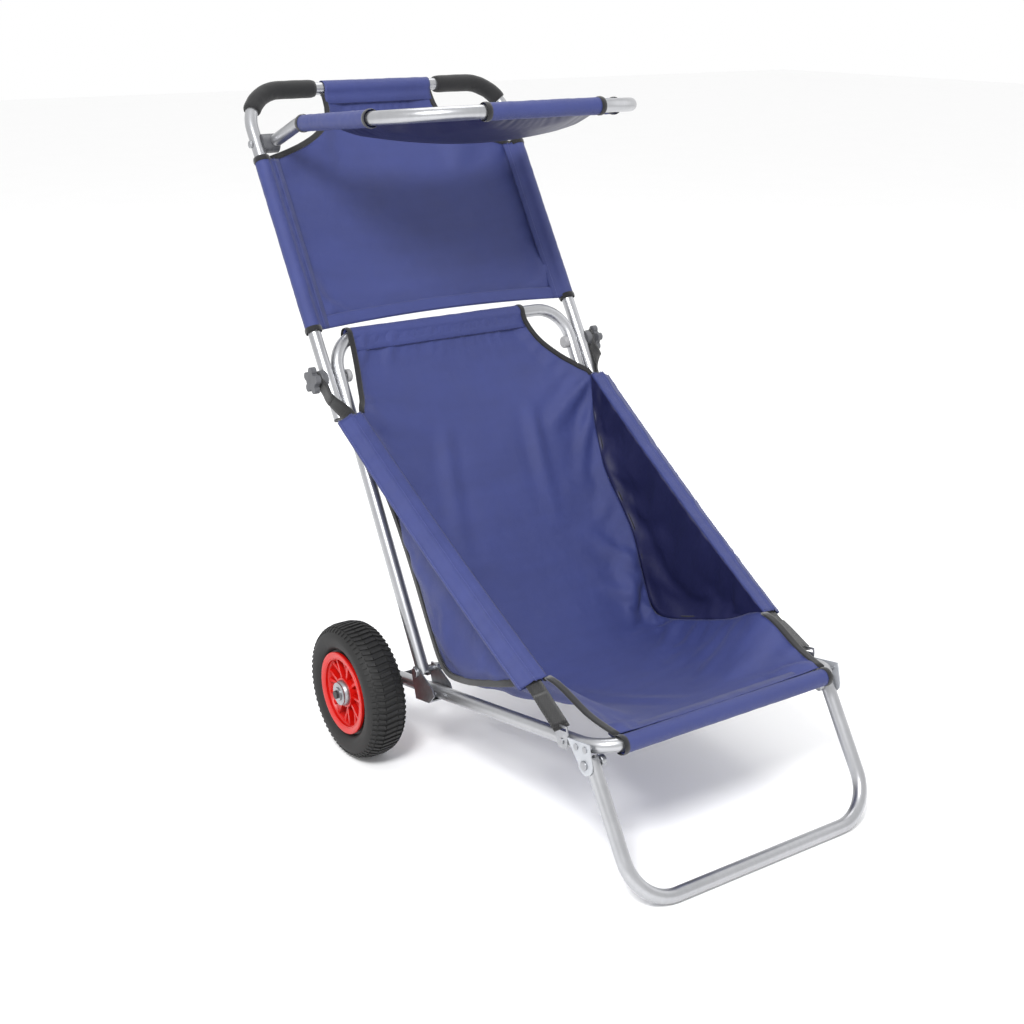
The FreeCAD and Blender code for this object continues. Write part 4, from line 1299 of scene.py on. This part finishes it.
ribRing = ringTree("red")
for side, word in wordOf.items():
    body = "wheel_" + word
    centre = Vector((side * wheelX, axleAt.y, axleAt.z))
    # rolled ring over the flange, on the outer side
    ring = turnedPiece("rim_ring_" + word, [
        (0.0262, 0.0512), (0.0266, 0.0526), (0.0272, 0.0545), (0.0278, 0.0570), (0.0279, 0.0590),
        (0.0274, 0.0603), (0.0264, 0.0606), (0.0256, 0.0600), (0.0256, 0.0512), (0.0262, 0.0512)],
        centre, "red", side=side)
    place(ring, body)
    # the dished face behind the ribs
    dish = turnedPiece("rim_dish_" + word, [
        (0.0070, 0.0215), (0.0068, 0.0300), (0.0080, 0.0400), (0.0110, 0.0460), (0.0170, 0.0492),
        (0.0256, 0.0506), (0.0256, 0.0514), (0.0160, 0.0504), (0.0096, 0.0470), (0.0064, 0.0405),
        (0.0052, 0.0300), (0.0054, 0.0215), (0.0070, 0.0215)], centre, "red", side=side)
    place(dish, body)
    ribs = ribUnit("rim_ribs_" + word, side)
    grown(ribs, ribRing, {"Count": rimCut["spokes"], "Centre": tuple(centre)}, "red")
    place(ribs, body)
    # pressed zinc washer over the bearing
    washer = turnedPiece("hub_washer_" + word, [
        (0.0316, 0.0066), (0.0318, 0.0085), (0.0318, 0.0125), (0.0309, 0.0152), (0.0288, 0.0172),
        (0.0260, 0.0184), (0.0225, 0.0190), (0.0215, 0.0184), (0.0215, 0.0168), (0.0280, 0.0167),
        (0.0312, 0.0120), (0.0312, 0.0066), (0.0316, 0.0066)], centre, "zinc", steps=48, side=side)
    place(washer, body)
print("stage: wheel centres made")

# finishes of the frame's own parts
pairedNodes = {
    "zinc": ("hinge_bracket", "strap_hook", "hub", "bearings"),
    "greyPaint": ("leg_plate",),
    "blackPlastic": ("valve", "inner_tube"),
    "palePlastic": ("bolt_cap",),
    "greyPlastic": ("saddle", "canopy_block", "canopy_joint", "star_knob"),
    "red": ("rim",),
    "brass": ("knob_insert",),
}
nodeLooks = {
    "tube": ["base_tube", "leg_tube", "back_tube", "handle_tube", "canopy_tube"],
    "zinc": ["axle_clips", "bracket_rivets", "hinge_bolts", "hinge_nuts", "plate_rivets",
             "leg_bolts", "leg_nuts", "hook_rivets", "clamp_bolts", "canopy_bolts"],
    "blackPlastic": ["axle", "axle_spacers", "base_plugs", "handle_plugs"],
}
for look, names in pairedNodes.items():
    for word in wordOf.values():
        nodeLooks.setdefault(look, []).extend(name + "_" + word for name in names)
for look, names in nodeLooks.items():
    for name in names:
        node = frame["nodes"][name]
        if not node.material_slots:
            node.data.materials.append(finishes[look])
        for slot in node.material_slots:
            slot.material = finishes[look]
print("stage: frame parts finished")

# studio
studio = {"viewTurn": 34.4, "viewDrop": 18.95, "from": (-1.223, -1.6964, 1.061), "lens": 53.8,
          "floorHalf": 14, "target": (0, 0, 0.45),
          "lights": {"key": ((-1.9, -1.7, 2.7), 0.9, 105), "fill": ((2.6, -0.6, 1.6), 2.4, 8),
                     "top": ((0.6, 1.0, 3.2), 2.0, 26)}}
turn = math.radians(studio["viewTurn"])
drop = math.radians(studio["viewDrop"])
ahead = Vector((math.sin(turn) * math.cos(drop), math.cos(turn) * math.cos(drop),
                -math.sin(drop)))
right = Vector((math.cos(turn), -math.sin(turn), 0))
above = right.cross(ahead)
cameraData = bpy.data.cameras.new("studio camera")
cameraData.lens = studio["lens"]
camera = linked("studio camera", cameraData)
axes = Matrix((right, above, -ahead)).transposed().to_4x4()
camera.matrix_world = Matrix.Translation(Vector(studio["from"])) @ axes
bpy.context.scene.camera = camera


def softLight(name, spot, target, size, power):
    data = bpy.data.lights.new(name, "AREA")
    data.shape = "DISK"
    data.size = size
    data.energy = power
    lamp = linked(name, data)
    lamp.location = spot
    lamp.rotation_euler = (Vector(target) - Vector(spot)).to_track_quat("-Z", "Y").to_euler()


for name, (spot, size, power) in studio["lights"].items():
    softLight(name, spot, studio["target"], size, power)

floorMesh = bpy.data.meshes.new("studio floor")
wide = studio["floorHalf"]
floorMesh.from_pydata([(-wide, -wide, 0), (wide, -wide, 0), (wide, wide, 0), (-wide, wide, 0)],
                      [], [(0, 1, 2, 3)])
floor = linked("studio_floor", floorMesh)
paper = Finish("floor paper", Specular_IOR_Level=0.2, Roughness=0.9)
grain = paper.noise(4.0, 3.0)
paper.drive("Base Color", paper.shades(grain, (0.95, 0.95, 0.95), (0.97, 0.97, 0.97)))
floorMesh.materials.append(paper.material)

world = bpy.data.worlds.new("studio air")
world.use_nodes = True
world.node_tree.nodes["Background"].inputs["Color"].default_value = (1.0, 1.0, 1.0, 1)
world.node_tree.nodes["Background"].inputs["Strength"].default_value = 1.0
bpy.context.scene.world = world
bpy.context.scene.view_settings.view_transform = "Standard"
